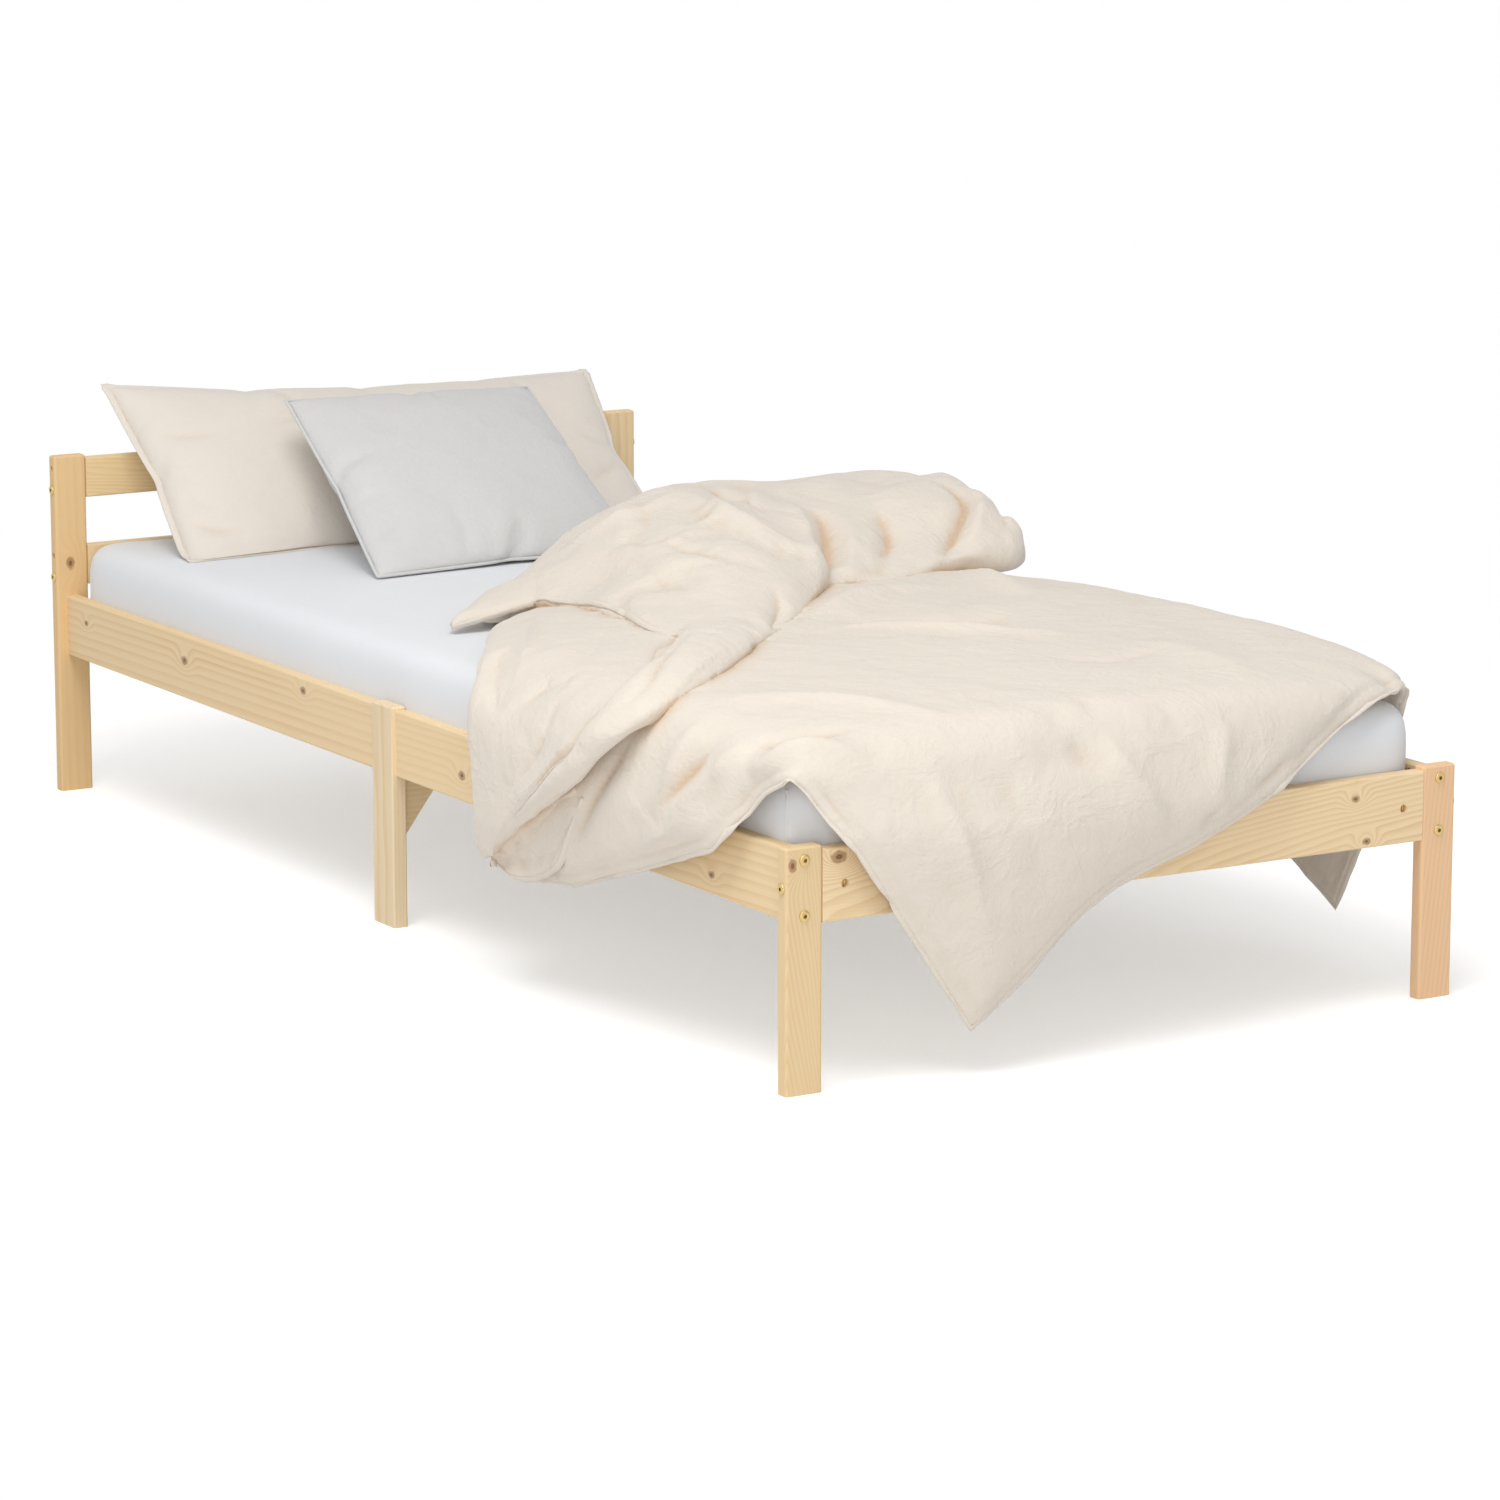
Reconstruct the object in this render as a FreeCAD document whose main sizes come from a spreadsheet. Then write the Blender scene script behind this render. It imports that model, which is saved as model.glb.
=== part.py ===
import FreeCAD
import Part
import math
import os
import re
import Sketcher

# A single bed in solid pine, dressed with a mattress, a duvet, a pillow and a cushion.
# The frame stands on four posts and two mid legs. X runs across the bed, with the near
# side at -X, Y runs from the foot to the head and Z points up. The origin is on the
# floor under the middle of the frame. All lengths are in millimetres.

SIZES = {
    # overall: the frame is made round its mattress
    "mattress_length": 2000,
    "mattress_width": 894,
    "mattress_side_gap": 3,
    "mattress_end_gap": 10,
    "cut_overrun": 2,
    "rest_gap": 0.3,
    # posts
    "post_width": 50,
    "post_depth": 20,
    "foot_post_height": 295,
    "head_post_height": 495,
    "post_ease": 4,
    "post_bevel": 2.5,
    # side rails and foot rail
    "rail_height": 88,
    "rail_thickness": 20,
    "rail_inset": 15,
    "rail_top_drop": 5,
    "rail_ease": 3,
    "foot_rail_height": 88,
    "foot_rail_thickness": 20,
    # mid legs
    "mid_leg_width": 58,
    "mid_leg_depth": 21,
    "mid_leg_lip": 6,
    "mid_leg_ease": 3,
    # head planks
    "plank_height": 58,
    "plank_thickness": 20,
    "plank_gap": 70,
    "plank_top_drop": 5,
    "plank_ease": 3,
    # slat base
    "ledger_height": 18,
    "ledger_depth": 20,
    "ledger_end_gap": 48,
    "ledger_ease": 1.5,
    "slat_width": 68,
    "slat_thickness": 12,
    "slat_end_margin": 28,
    "slat_end_gap": 2,
    "slat_ease": 2,
    "tape_width": 20,
    "tape_thickness": 0.8,
    "tape_offset": 250,
    "staple_length": 10,
    "staple_wire": 1.2,
    # mid beam and its gussets
    "beam_width": 58,
    "gusset_reach": 65,
    "gusset_drop": 85,
    "gusset_thickness": 18,
    "gusset_tip": 7,
    # furniture bolts, rods and barrel nuts
    "bolt_diameter": 6,
    "bolt_head_diameter": 14,
    "bolt_head_height": 2.5,
    "bolt_socket_width": 5,
    "bolt_socket_depth": 1.6,
    "bolt_hole_clearance": 0.5,
    "bolt_end": 8,
    "rail_bolt_spread": 66,
    "mid_rod_spread": 50,
    "plank_bolt_drop": 45,
    "nut_diameter": 10,
    "nut_length": 11,
    "nut_setback": 30,
    "nut_clearance": 0.1,
    "thread_clearance": 0.05,
    # dowels
    "dowel_diameter": 8,
    "dowel_length": 78,
    "dowel_recess": 4,
    "dowel_clearance": 0.1,
    "plank_dowel_drop": 13.5,
    "short_dowel_length": 24,
    "beam_dowel_spread": 32,
    "gusset_dowel_setback": 22,
    # mattress and fitted sheet
    "mattress_height": 130,
    "mattress_corner": 45,
    "mattress_edge": 24,
    "mattress_bulge": 6,
    "mattress_crown": 3,
    "crown_inset": 140,
    "sheet_thickness": 1,
    "sheet_gap": 0.2,
    # pillow
    "pillow_width": 820,
    "pillow_height": 345,
    "pillow_thickness": 126,
    "pillow_seam": 6,
    "pillow_sink": 12,
    "pillow_centre_x": 8,
    "pillow_plank_gap": 2,
    # cushion
    "cushion_width": 400,
    "cushion_height": 365,
    "cushion_thickness": 95,
    "cushion_seam": 5,
    "cushion_sink": 10,
    "cushion_centre_x": 8,
    "cushion_nestle": 6,
    # duvet
    "quilt_thickness": 58,
    "roll_thickness": 150,
    "quilt_edge_inset": 9,
    "quilt_lap": 34,
    "hang_clearance": 2,
    "near_hang_thickness": 42,
    "far_hang_thickness": 27,
    "foot_hang_thickness": 16,
    "hem_thickness": 14,
}

COUNTS = {"slats": 13, "round_sides": 12, "head_sides": 16, "socket_sides": 6}
RUNS = {"corner": 4, "pad": 8, "quilt": 6, "hang": 4}
ANGLES = {"pillow_lean": 41.0, "cushion_lean": 33.0, "cushion_turn": 12.0}

PLACES = {
    "half_length": "mattress_length / 2 + mattress_end_gap + post_depth",
    "half_width": "mattress_width / 2 + mattress_side_gap + rail_thickness + rail_inset",
    "post_inner_x": "half_width - post_width",
    "post_inner_y": "half_length - post_depth",
    "post_mid_y": "half_length - post_depth / 2",
    "rail_outer_x": "half_width - rail_inset",
    "rail_inner_x": "rail_outer_x - rail_thickness",
    "rail_mid_x": "rail_outer_x - rail_thickness / 2",
    "rail_top": "foot_post_height - rail_top_drop",
    "rail_bottom": "rail_top - rail_height",
    "rail_mid_z": "rail_top - rail_height / 2",
    "rail_length": "post_inner_y - mid_leg_width / 2",
    "leg_outer_x": "rail_outer_x + mid_leg_lip",
    "leg_inner_x": "leg_outer_x - mid_leg_depth",
    "mid_rod_x": "(rail_outer_x + leg_inner_x) / 2",
    "foot_rail_bottom": "rail_top - foot_rail_height",
    "upper_plank_top": "head_post_height - plank_top_drop",
    "upper_plank_bottom": "upper_plank_top - plank_height",
    "lower_plank_top": "upper_plank_bottom - plank_gap",
    "lower_plank_bottom": "lower_plank_top - plank_height",
    "plank_length": "post_inner_x * 2",
    "ledger_top": "rail_bottom + ledger_height",
    "ledger_inner_x": "rail_inner_x - ledger_depth",
    "ledger_length": "rail_length - ledger_end_gap * 2",
    "ledger_mid_z": "rail_bottom + ledger_height / 2",
    "slat_top": "ledger_top + slat_thickness",
    "slat_length": "(rail_inner_x - slat_end_gap) * 2",
    "slat_pitch": f"(post_inner_y * 2 - slat_end_margin * 2 - slat_width) / {COUNTS['slats'] - 1}",
    "staple_top": "slat_top + tape_thickness + staple_wire / 2",
    "mattress_base": "staple_top + rest_gap",
    "mattress_top": "mattress_base + mattress_height",
    "bed_top": "mattress_top + mattress_crown + sheet_gap + sheet_thickness",
    "hang_inner_x": "leg_outer_x + hang_clearance",
    "hang_inner_y": "half_length + hang_clearance",
    "quilt_edge_x": "hang_inner_x - quilt_edge_inset",
    "bolt_hole": "bolt_diameter / 2 + bolt_hole_clearance",
    "nut_hole": "nut_diameter / 2 + nut_clearance",
    "dowel_hole": "dowel_diameter / 2 + dowel_clearance",
    "rail_bolt_length": "post_depth + nut_setback + bolt_end",
    "cross_bolt_length": "post_width + nut_setback + bolt_end",
    "mid_rod_length": "mid_leg_width + (nut_setback + bolt_end) * 2",
}

doc = FreeCAD.newDocument("pine_bed")
nodes = []

# The driving sizes and the places worked out from them
sizes_sheet = doc.addObject("Spreadsheet::Sheet", "Sizes")
places_sheet = doc.addObject("Spreadsheet::Sheet", "Places")
NAME = re.compile(r"[a-z][a-z_]+")


def with_sheets(formula):
    """Write a formula of plain size names as one that points into the two sheets."""

    def owner(match):
        word = match.group()
        return f"{'Places' if word in PLACES else 'Sizes'}.{word}"

    return NAME.sub(owner, formula)


for row, (name, size) in enumerate(SIZES.items(), start=1):
    sizes_sheet.set(f"A{row}", name)
    sizes_sheet.set(f"B{row}", str(size))
    sizes_sheet.setAlias(f"B{row}", name)
for row, (name, formula) in enumerate(PLACES.items(), start=1):
    places_sheet.set(f"A{row}", name)
    places_sheet.setAlias(f"B{row}", name)
for row, formula in enumerate(PLACES.values(), start=1):
    places_sheet.set(f"B{row}", "=" + with_sheets(formula))
doc.recompute()


def mm(name):
    """Read one size or place from the sheets."""
    sheet = places_sheet if name in PLACES else sizes_sheet
    return float(getattr(sheet, name))


def bind(thing, **formulas):
    """Bind properties of a document object to formulas of size names."""
    for prop, formula in formulas.items():
        thing.setExpression(prop, with_sheets(str(formula)))


def put(thing, corner):
    """Bind the place of an object to three formulas."""
    for axis, formula in zip("xyz", corner):
        thing.setExpression(f"Placement.Base.{axis}", with_sheets(str(formula)))


def keep(thing, label):
    """Name a finished sub-part and list it for writing."""
    thing.Label = label
    nodes.append(thing)
    return thing


# Boards: a rectangle drawn on the floor plane, padded up, with its edges eased
def origin_plane(body, role):
    return next(item for item in body.Origin.OriginFeatures if item.Role == role)


def rectangle(sketch, wide, deep):
    """A fully constrained rectangle from the sketch's origin."""
    corners = [(0, 0), (1, 0), (1, 1), (0, 1)]
    points = [FreeCAD.Vector(x * mm("post_width"), y * mm("post_width"), 0) for x, y in corners]
    for start, end in zip(points, points[1:] + points[:1]):
        sketch.addGeometry(Part.LineSegment(start, end))
    for side in range(len(corners)):
        sketch.addConstraint(Sketcher.Constraint("Coincident", side, 2, (side + 1) % len(corners), 1))
    for side, kind in enumerate(["Horizontal", "Vertical", "Horizontal", "Vertical"]):
        sketch.addConstraint(Sketcher.Constraint(kind, side))
    sketch.addConstraint(Sketcher.Constraint("Coincident", 0, 1, -1, 1))
    for side, name, formula in ((0, "wide", wide), (1, "deep", deep)):
        index = sketch.addConstraint(Sketcher.Constraint("Distance", side, mm("post_width")))
        sketch.renameConstraint(index, name)
        sketch.setExpression(f"Constraints.{name}", with_sheets(formula))


def board(label, size, corner, ease, eased, dress="Fillet"):
    """A board with the edges that the test picks rounded or bevelled by the ease."""
    wide, deep, high = size
    body = doc.addObject("PartDesign::Body", label)
    sketch = body.newObject("Sketcher::SketchObject", f"{label}_outline")
    sketch.AttachmentSupport = [(origin_plane(body, "XY_Plane"), "")]
    sketch.MapMode = "FlatFace"
    rectangle(sketch, wide, deep)
    pad = body.newObject("PartDesign::Pad", f"{label}_pad")
    pad.Profile = sketch
    bind(pad, Length=high)
    doc.recompute()
    picked = [f"Edge{n}" for n, edge in enumerate(pad.Shape.Edges, start=1) if eased(edge)]
    edges = body.newObject(f"PartDesign::{dress}", f"{label}_edges")
    edges.Base = (pad, picked)
    bind(edges, **{"Radius" if dress == "Fillet" else "Size": ease})
    put(body, corner)
    return body


def upright(label, size, corner, ease, bevel):
    """A standing board with round upright edges and a bevel round its top."""
    body = board(label, size, corner, ease, along(Z_AXIS))
    doc.recompute()
    rounded = body.Tip
    top = rounded.Shape.BoundBox.ZMax - Part.Precision.confusion()
    picked = [f"Edge{n}" for n, edge in enumerate(rounded.Shape.Edges, start=1) if edge.BoundBox.ZMin > top]
    crest = body.newObject("PartDesign::Chamfer", f"{label}_top")
    crest.Base = (rounded, picked)
    bind(crest, Size=bevel)
    return body


def along(axis):
    """Picks the edges that run along one axis."""

    def test(edge):
        run = edge.lastVertex().Point - edge.firstVertex().Point
        return abs(abs(run.normalize().dot(axis)) - 1) < Part.Precision.confusion()

    return test


X_AXIS = FreeCAD.Vector(1, 0, 0)
Y_AXIS = FreeCAD.Vector(0, 1, 0)
Z_AXIS = FreeCAD.Vector(0, 0, 1)
TURNS = {
    "+x": FreeCAD.Rotation(Z_AXIS, X_AXIS),
    "-x": FreeCAD.Rotation(Z_AXIS, -X_AXIS),
    "+y": FreeCAD.Rotation(Z_AXIS, Y_AXIS),
    "-y": FreeCAD.Rotation(Z_AXIS, -Y_AXIS),
    "+z": FreeCAD.Rotation(),
    "-z": FreeCAD.Rotation(X_AXIS, math.degrees(math.pi)),
}


# Bores, shanks and nuts are many-sided: a bore's flats and a shank's corners lie on its circle
CORNER_SHARE = 1 / math.cos(math.pi / COUNTS["round_sides"])


def bore(way, mouth, radius, depth):
    """A drilled hole: the way it goes in, its mouth, its radius and its depth."""
    return (way, mouth, radius, depth)


def drilled(label, blank, holes):
    """Cut holes into a blank. Holes that cross each other are joined first."""
    blank.Label = f"{label}_blank"
    tools = []
    for count, (way, mouth, radius, depth) in enumerate(holes):
        tool = doc.addObject("Part::Prism", f"{label}_hole_{count}")
        tool.Polygon = COUNTS["round_sides"]
        tool.Placement = FreeCAD.Placement(FreeCAD.Vector(), TURNS[way])
        bind(tool, Circumradius=f"({radius}) * {CORNER_SHARE}", Height=f"{depth} + cut_overrun")
        place = [str(formula) for formula in mouth]
        spot = "xyz".index(way[1])
        back = "+" if way[0] == "-" else "-"
        place[spot] = f"{place[spot]} {back} cut_overrun"
        put(tool, place)
        tools.append(tool)
    joined = doc.addObject("Part::MultiFuse", f"{label}_holes")
    joined.Shapes = tools
    cut = doc.addObject("Part::Cut", f"{label}_drilled")
    cut.Base = blank
    cut.Tool = joined
    return keep(cut, label)


SIDES = (("near", -1), ("far", 1))
ENDS = (("foot", -1), ("head", 1))
RAIL_BOLT_HEIGHTS = ("rail_mid_z - rail_bolt_spread / 2", "rail_mid_z + rail_bolt_spread / 2")
MID_ROD_HEIGHTS = ("rail_mid_z - mid_rod_spread / 2", "rail_mid_z + mid_rod_spread / 2")
PLANKS = tuple((name, f"{name}_plank_bottom", f"{name}_plank_top") for name in ("upper", "lower"))


def inward(axis, sign):
    """The way from a side or an end towards the middle of the bed."""
    return ("+" if sign < 0 else "-") + axis


def outward(axis, sign):
    return ("-" if sign < 0 else "+") + axis


def low(sign, outer, inner):
    """The low corner of a piece on one side, or at one end, of the bed."""
    return f"-1 * ({outer})" if sign < 0 else inner


# Posts: the rail bolts pass through the wide faces, the cross bolts through the narrow ones
for end, end_sign in ENDS:
    for side, side_sign in SIDES:
        label = f"{side}_{end}_post"
        size = ("post_width", "post_depth", f"{end}_post_height")
        corner = (
            low(side_sign, "half_width", "post_inner_x"),
            low(end_sign, "half_length", "post_inner_y"),
            0,
        )
        blank = upright(label, size, corner, "post_ease", "post_bevel")
        holes = []
        for height in RAIL_BOLT_HEIGHTS:
            mouth = (f"{side_sign} * rail_mid_x", f"{end_sign} * half_length", height)
            holes.append(bore(inward("y", end_sign), mouth, "bolt_hole", "post_depth + cut_overrun"))
        outer = (f"{side_sign} * half_width", f"{end_sign} * post_mid_y")
        through = "post_width + cut_overrun"
        way = inward("x", side_sign)
        if end == "foot":
            holes.append(bore(way, (*outer, "rail_mid_z"), "bolt_hole", through))
        else:
            for _, _, top in PLANKS:
                holes.append(bore(way, (*outer, f"{top} - plank_bolt_drop"), "bolt_hole", through))
                holes.append(bore(way, (*outer, f"{top} - plank_dowel_drop"), "dowel_hole", through))
        drilled(label, blank, holes)

# Mid legs: they stand a lip proud of the rails, which butt against them on both sides
for side, sign in SIDES:
    label = f"{side}_mid_leg"
    size = ("mid_leg_depth", "mid_leg_width", "foot_post_height")
    corner = (low(sign, "leg_outer_x", "leg_inner_x"), "-1 * mid_leg_width / 2", 0)
    blank = upright(label, size, corner, "mid_leg_ease", "post_bevel")
    holes = []
    for height in MID_ROD_HEIGHTS:
        mouth = (f"{sign} * mid_rod_x", "-1 * mid_leg_width / 2", height)
        holes.append(bore("+y", mouth, "bolt_hole", "mid_leg_width + cut_overrun"))
    inner = f"{sign} * leg_inner_x"
    for dowel_y in ("-1 * beam_dowel_spread / 2", "beam_dowel_spread / 2"):
        mouth = (inner, dowel_y, "ledger_mid_z")
        holes.append(bore(outward("x", sign), mouth, "dowel_hole", "short_dowel_length / 2"))
    mouth = (inner, 0, "rail_bottom - gusset_drop + gusset_dowel_setback")
    holes.append(bore(outward("x", sign), mouth, "dowel_hole", "short_dowel_length / 2"))
    drilled(label, blank, holes)


# Side rails, in two halves on each side, and the ledgers that carry the slats
for end, end_sign in ENDS:
    for side, sign in SIDES:
        label = f"{side}_{end}_side_rail"
        size = ("rail_thickness", "rail_length", "rail_height")
        corner = (
            low(sign, "rail_outer_x", "rail_inner_x"),
            low(end_sign, "post_inner_y", "mid_leg_width / 2"),
            "rail_bottom",
        )
        blank = board(label, size, corner, "rail_ease", along(Y_AXIS))
        holes = []
        inner = f"{sign} * rail_inner_x"
        deep = "nut_setback + bolt_end + bolt_diameter"
        for height in RAIL_BOLT_HEIGHTS:
            mouth = (f"{sign} * rail_mid_x", f"{end_sign} * post_inner_y", height)
            holes.append(bore(inward("y", end_sign), mouth, "bolt_hole", deep))
            mouth = (inner, f"{end_sign} * (post_inner_y - nut_setback)", height)
            nut_deep = "(rail_thickness + nut_length) / 2 + nut_clearance"
            holes.append(bore(outward("x", sign), mouth, "nut_hole", nut_deep))
        for height in MID_ROD_HEIGHTS:
            mouth = (f"{sign} * mid_rod_x", f"{end_sign} * mid_leg_width / 2", height)
            holes.append(bore(outward("y", end_sign), mouth, "bolt_hole", deep))
            mouth = (inner, f"{end_sign} * (mid_leg_width / 2 + nut_setback)", height)
            nut_deep = "mid_rod_x - rail_inner_x + nut_length / 2 + nut_clearance"
            holes.append(bore(outward("x", sign), mouth, "nut_hole", nut_deep))
        drilled(label, blank, holes)

        label = f"{side}_{end}_ledger"
        size = ("ledger_depth", "ledger_length", "ledger_height")
        start = "mid_leg_width / 2 + ledger_end_gap"
        corner = (
            low(sign, "rail_inner_x", "ledger_inner_x"),
            low(end_sign, f"{start} + ledger_length", start),
            "rail_bottom",
        )
        keep(board(label, size, corner, "ledger_ease", along(Y_AXIS), "Chamfer"), label)

# Foot rail between the foot posts: its barrel nuts go in from the front
size = ("plank_length", "foot_rail_thickness", "foot_rail_height")
corner = ("-1 * post_inner_x", "-1 * half_length", "foot_rail_bottom")
blank = board("foot_rail", size, corner, "rail_ease", along(X_AXIS))
holes = []
for side, sign in SIDES:
    deep = "nut_setback + bolt_end + bolt_diameter"
    mouth = (f"{sign} * post_inner_x", "-1 * post_mid_y", "rail_mid_z")
    holes.append(bore(inward("x", sign), mouth, "bolt_hole", deep))
    mouth = (f"{sign} * (post_inner_x - nut_setback)", "-1 * half_length", "rail_mid_z")
    holes.append(bore("+y", mouth, "nut_hole", "(post_depth + nut_length) / 2 + nut_clearance"))
drilled("foot_rail", blank, holes)

# Head planks: one bolt and one dowel in each end, with the barrel nuts at the back
for name, bottom, top in PLANKS:
    size = ("plank_length", "plank_thickness", "plank_height")
    corner = ("-1 * post_inner_x", "post_mid_y - plank_thickness / 2", bottom)
    blank = board(f"{name}_head_plank", size, corner, "plank_ease", along(X_AXIS))
    holes = []
    for side, sign in SIDES:
        deep = "nut_setback + bolt_end + bolt_diameter"
        height = f"{top} - plank_bolt_drop"
        mouth = (f"{sign} * post_inner_x", "post_mid_y", height)
        holes.append(bore(inward("x", sign), mouth, "bolt_hole", deep))
        back = "post_mid_y + plank_thickness / 2"
        mouth = (f"{sign} * (post_inner_x - nut_setback)", back, height)
        holes.append(bore("-y", mouth, "nut_hole", "(plank_thickness + nut_length) / 2 + nut_clearance"))
        mouth = (f"{sign} * post_inner_x", "post_mid_y", f"{top} - plank_dowel_drop")
        deep = "dowel_recess + dowel_length - post_width + dowel_clearance"
        holes.append(bore(inward("x", sign), mouth, "dowel_hole", deep))
    drilled(f"{name}_head_plank", blank, holes)

# Mid beam, laid flat between the mid legs under the middle slat
size = ("leg_inner_x * 2", "beam_width", "ledger_height")
corner = ("-1 * leg_inner_x", "-1 * beam_width / 2", "rail_bottom")
blank = board("mid_beam", size, corner, "ledger_ease", along(X_AXIS), "Chamfer")
holes = []
for side, sign in SIDES:
    for dowel_y in ("-1 * beam_dowel_spread / 2", "beam_dowel_spread / 2"):
        mouth = (f"{sign} * leg_inner_x", dowel_y, "ledger_mid_z")
        holes.append(bore(inward("x", sign), mouth, "dowel_hole", "short_dowel_length / 2"))
    mouth = (f"{sign} * (leg_inner_x - gusset_reach + gusset_dowel_setback)", 0, "rail_bottom")
    holes.append(bore("+z", mouth, "dowel_hole", "short_dowel_length / 2"))
drilled("mid_beam", blank, holes)


def gusset_outline(sketch):
    """A right triangle with both sharp tips cut off square."""
    reach, drop, tip = (mm(f"gusset_{name}") for name in ("reach", "drop", "tip"))
    points = [(0, 0), (0, -drop), (tip, -drop), (reach, -tip), (reach, 0)]
    ends = [FreeCAD.Vector(x, y, 0) for x, y in points]
    for start, end in zip(ends, ends[1:] + ends[:1]):
        sketch.addGeometry(Part.LineSegment(start, end))
    sides = len(ends)
    for side in range(sides):
        sketch.addConstraint(Sketcher.Constraint("Coincident", side, 2, (side + 1) % sides, 1))
    sketch.addConstraint(Sketcher.Constraint("Coincident", 0, 1, -1, 1))
    for side, kind in ((0, "Vertical"), (1, "Horizontal"), (3, "Vertical"), (4, "Horizontal")):
        sketch.addConstraint(Sketcher.Constraint(kind, side))
    for side, name in ((0, "drop"), (1, "tip"), (4, "reach")):
        index = sketch.addConstraint(Sketcher.Constraint("Distance", side, mm(f"gusset_{name}")))
        sketch.renameConstraint(index, name)
        sketch.setExpression(f"Constraints.{name}", with_sheets(f"gusset_{name}"))
    index = sketch.addConstraint(Sketcher.Constraint("Distance", 3, mm("gusset_tip")))
    sketch.renameConstraint(index, "blunt")
    sketch.setExpression("Constraints.blunt", with_sheets("gusset_tip"))


# Gussets: triangles in the corner between each mid leg and the beam
for side, sign in SIDES:
    label = f"{side}_gusset"
    body = doc.addObject("PartDesign::Body", label)
    sketch = body.newObject("Sketcher::SketchObject", f"{label}_outline")
    sketch.AttachmentSupport = [(origin_plane(body, "XZ_Plane"), "")]
    sketch.MapMode = "FlatFace"
    gusset_outline(sketch)
    pad = body.newObject("PartDesign::Pad", f"{label}_pad")
    pad.Profile = sketch
    bind(pad, Length="gusset_thickness")
    body.Placement = FreeCAD.Placement(
        FreeCAD.Vector(), FreeCAD.Rotation(Z_AXIS, 0 if sign < 0 else math.degrees(math.pi))
    )
    middle = f"{-sign} * gusset_thickness / 2"
    put(body, (f"{sign} * leg_inner_x", middle, "rail_bottom"))
    mouth = (f"{sign} * leg_inner_x", 0, "rail_bottom - gusset_drop + gusset_dowel_setback")
    holes = [bore(inward("x", sign), mouth, "dowel_hole", "short_dowel_length / 2")]
    mouth = (f"{sign} * (leg_inner_x - gusset_reach + gusset_dowel_setback)", 0, "rail_bottom")
    holes.append(bore("-z", mouth, "dowel_hole", "short_dowel_length / 2"))
    drilled(label, body, holes)

# Slats across the ledgers
middle_slat = (COUNTS["slats"] - 1) // 2
for count in range(COUNTS["slats"]):
    label = f"slat_{count + 1:02d}"
    place = f"slat_pitch * {count - middle_slat}"
    size = ("slat_length", "slat_width", "slat_thickness")
    corner = ("-1 * slat_length / 2", f"{place} - slat_width / 2", "ledger_top")
    keep(board(label, size, corner, "slat_ease", along(X_AXIS), "Chamfer"), label)

# Two tapes hold the slats apart
for side, sign in SIDES:
    tape = doc.addObject("Part::Box", f"{side}_tape")
    run = f"slat_pitch * {COUNTS['slats'] - 1} + slat_width"
    bind(tape, Length="tape_width", Width=run, Height="tape_thickness")
    put(tape, (f"{sign} * tape_offset - tape_width / 2", f"-1 * ({run}) / 2", "slat_top"))
    keep(tape, f"{side}_slat_tape")

doc.recompute()


def group(label, solids):
    """One node of like fasteners, each a solid of its own."""
    feature = doc.addObject("Part::Feature", label)
    feature.Shape = Part.makeCompound(solids)
    return keep(feature, label)


def placed(solid, way, x, y, z):
    copy = solid.copy()
    copy.Placement = FreeCAD.Placement(FreeCAD.Vector(x, y, z), TURNS[way])
    return copy


def prism(radius, sides, length, low=0):
    """An upright many-sided prism whose corners lie on a circle."""
    turns = [math.tau * side / sides for side in range(sides + 1)]
    ring = [FreeCAD.Vector(radius * math.cos(a), radius * math.sin(a), low) for a in turns]
    return Part.Face(Part.makePolygon(ring)).extrude(Z_AXIS * length)


def shank(diameter, length, low=0):
    return prism(diameter / 2, COUNTS["round_sides"], length, low)


def bolt(length):
    """A flat-headed bolt with a hexagon socket. Its head sits on the plane of zero height."""
    high = mm("bolt_head_height")
    head = prism(mm("bolt_head_diameter") / 2, COUNTS["head_sides"], high, -high)
    corner = mm("bolt_socket_width") / 2 / math.cos(math.pi / COUNTS["socket_sides"])
    socket = prism(corner, COUNTS["socket_sides"], mm("bolt_socket_depth"), -high)
    return head.fuse(shank(mm("bolt_diameter"), length)).cut(socket)


def barrel_nut():
    """A round nut across the bolt: its axis is upright and its thread runs along X."""
    long = mm("nut_length")
    reach = mm("nut_diameter")
    thread = shank((mm("bolt_diameter") + mm("thread_clearance") * 2) * CORNER_SHARE, reach * 2)
    thread.Placement = FreeCAD.Placement(X_AXIS * -reach, TURNS["+x"])
    return shank(mm("nut_diameter"), long, -long / 2).cut(thread)


def nut_across(way, x, y, z):
    """Place a barrel nut whose thread runs along X or Y and whose axis runs the other way."""
    turns = {
        "x": FreeCAD.Rotation(X_AXIS, -Z_AXIS, Y_AXIS),
        "y": FreeCAD.Rotation(Y_AXIS, Z_AXIS, X_AXIS),
    }
    solid = barrel_nut()
    solid.Placement = FreeCAD.Placement(FreeCAD.Vector(x, y, z), turns[way])
    return solid


def dowel(length):
    return shank(mm("dowel_diameter"), length)


# Bolts and barrel nuts of the side rails
rail_heights = [mm("rail_mid_z") + sign * mm("rail_bolt_spread") / 2 for sign in (-1, 1)]
rail_bolt = bolt(mm("rail_bolt_length"))
bolts = []
nuts = []
for end, end_sign in ENDS:
    for side, sign in SIDES:
        for z in rail_heights:
            x = sign * mm("rail_mid_x")
            bolts.append(placed(rail_bolt, inward("y", end_sign), x, end_sign * mm("half_length"), z))
            nuts.append(nut_across("y", x, end_sign * (mm("post_inner_y") - mm("nut_setback")), z))
group("side_rail_bolts", bolts)
group("side_rail_nuts", nuts)

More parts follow.
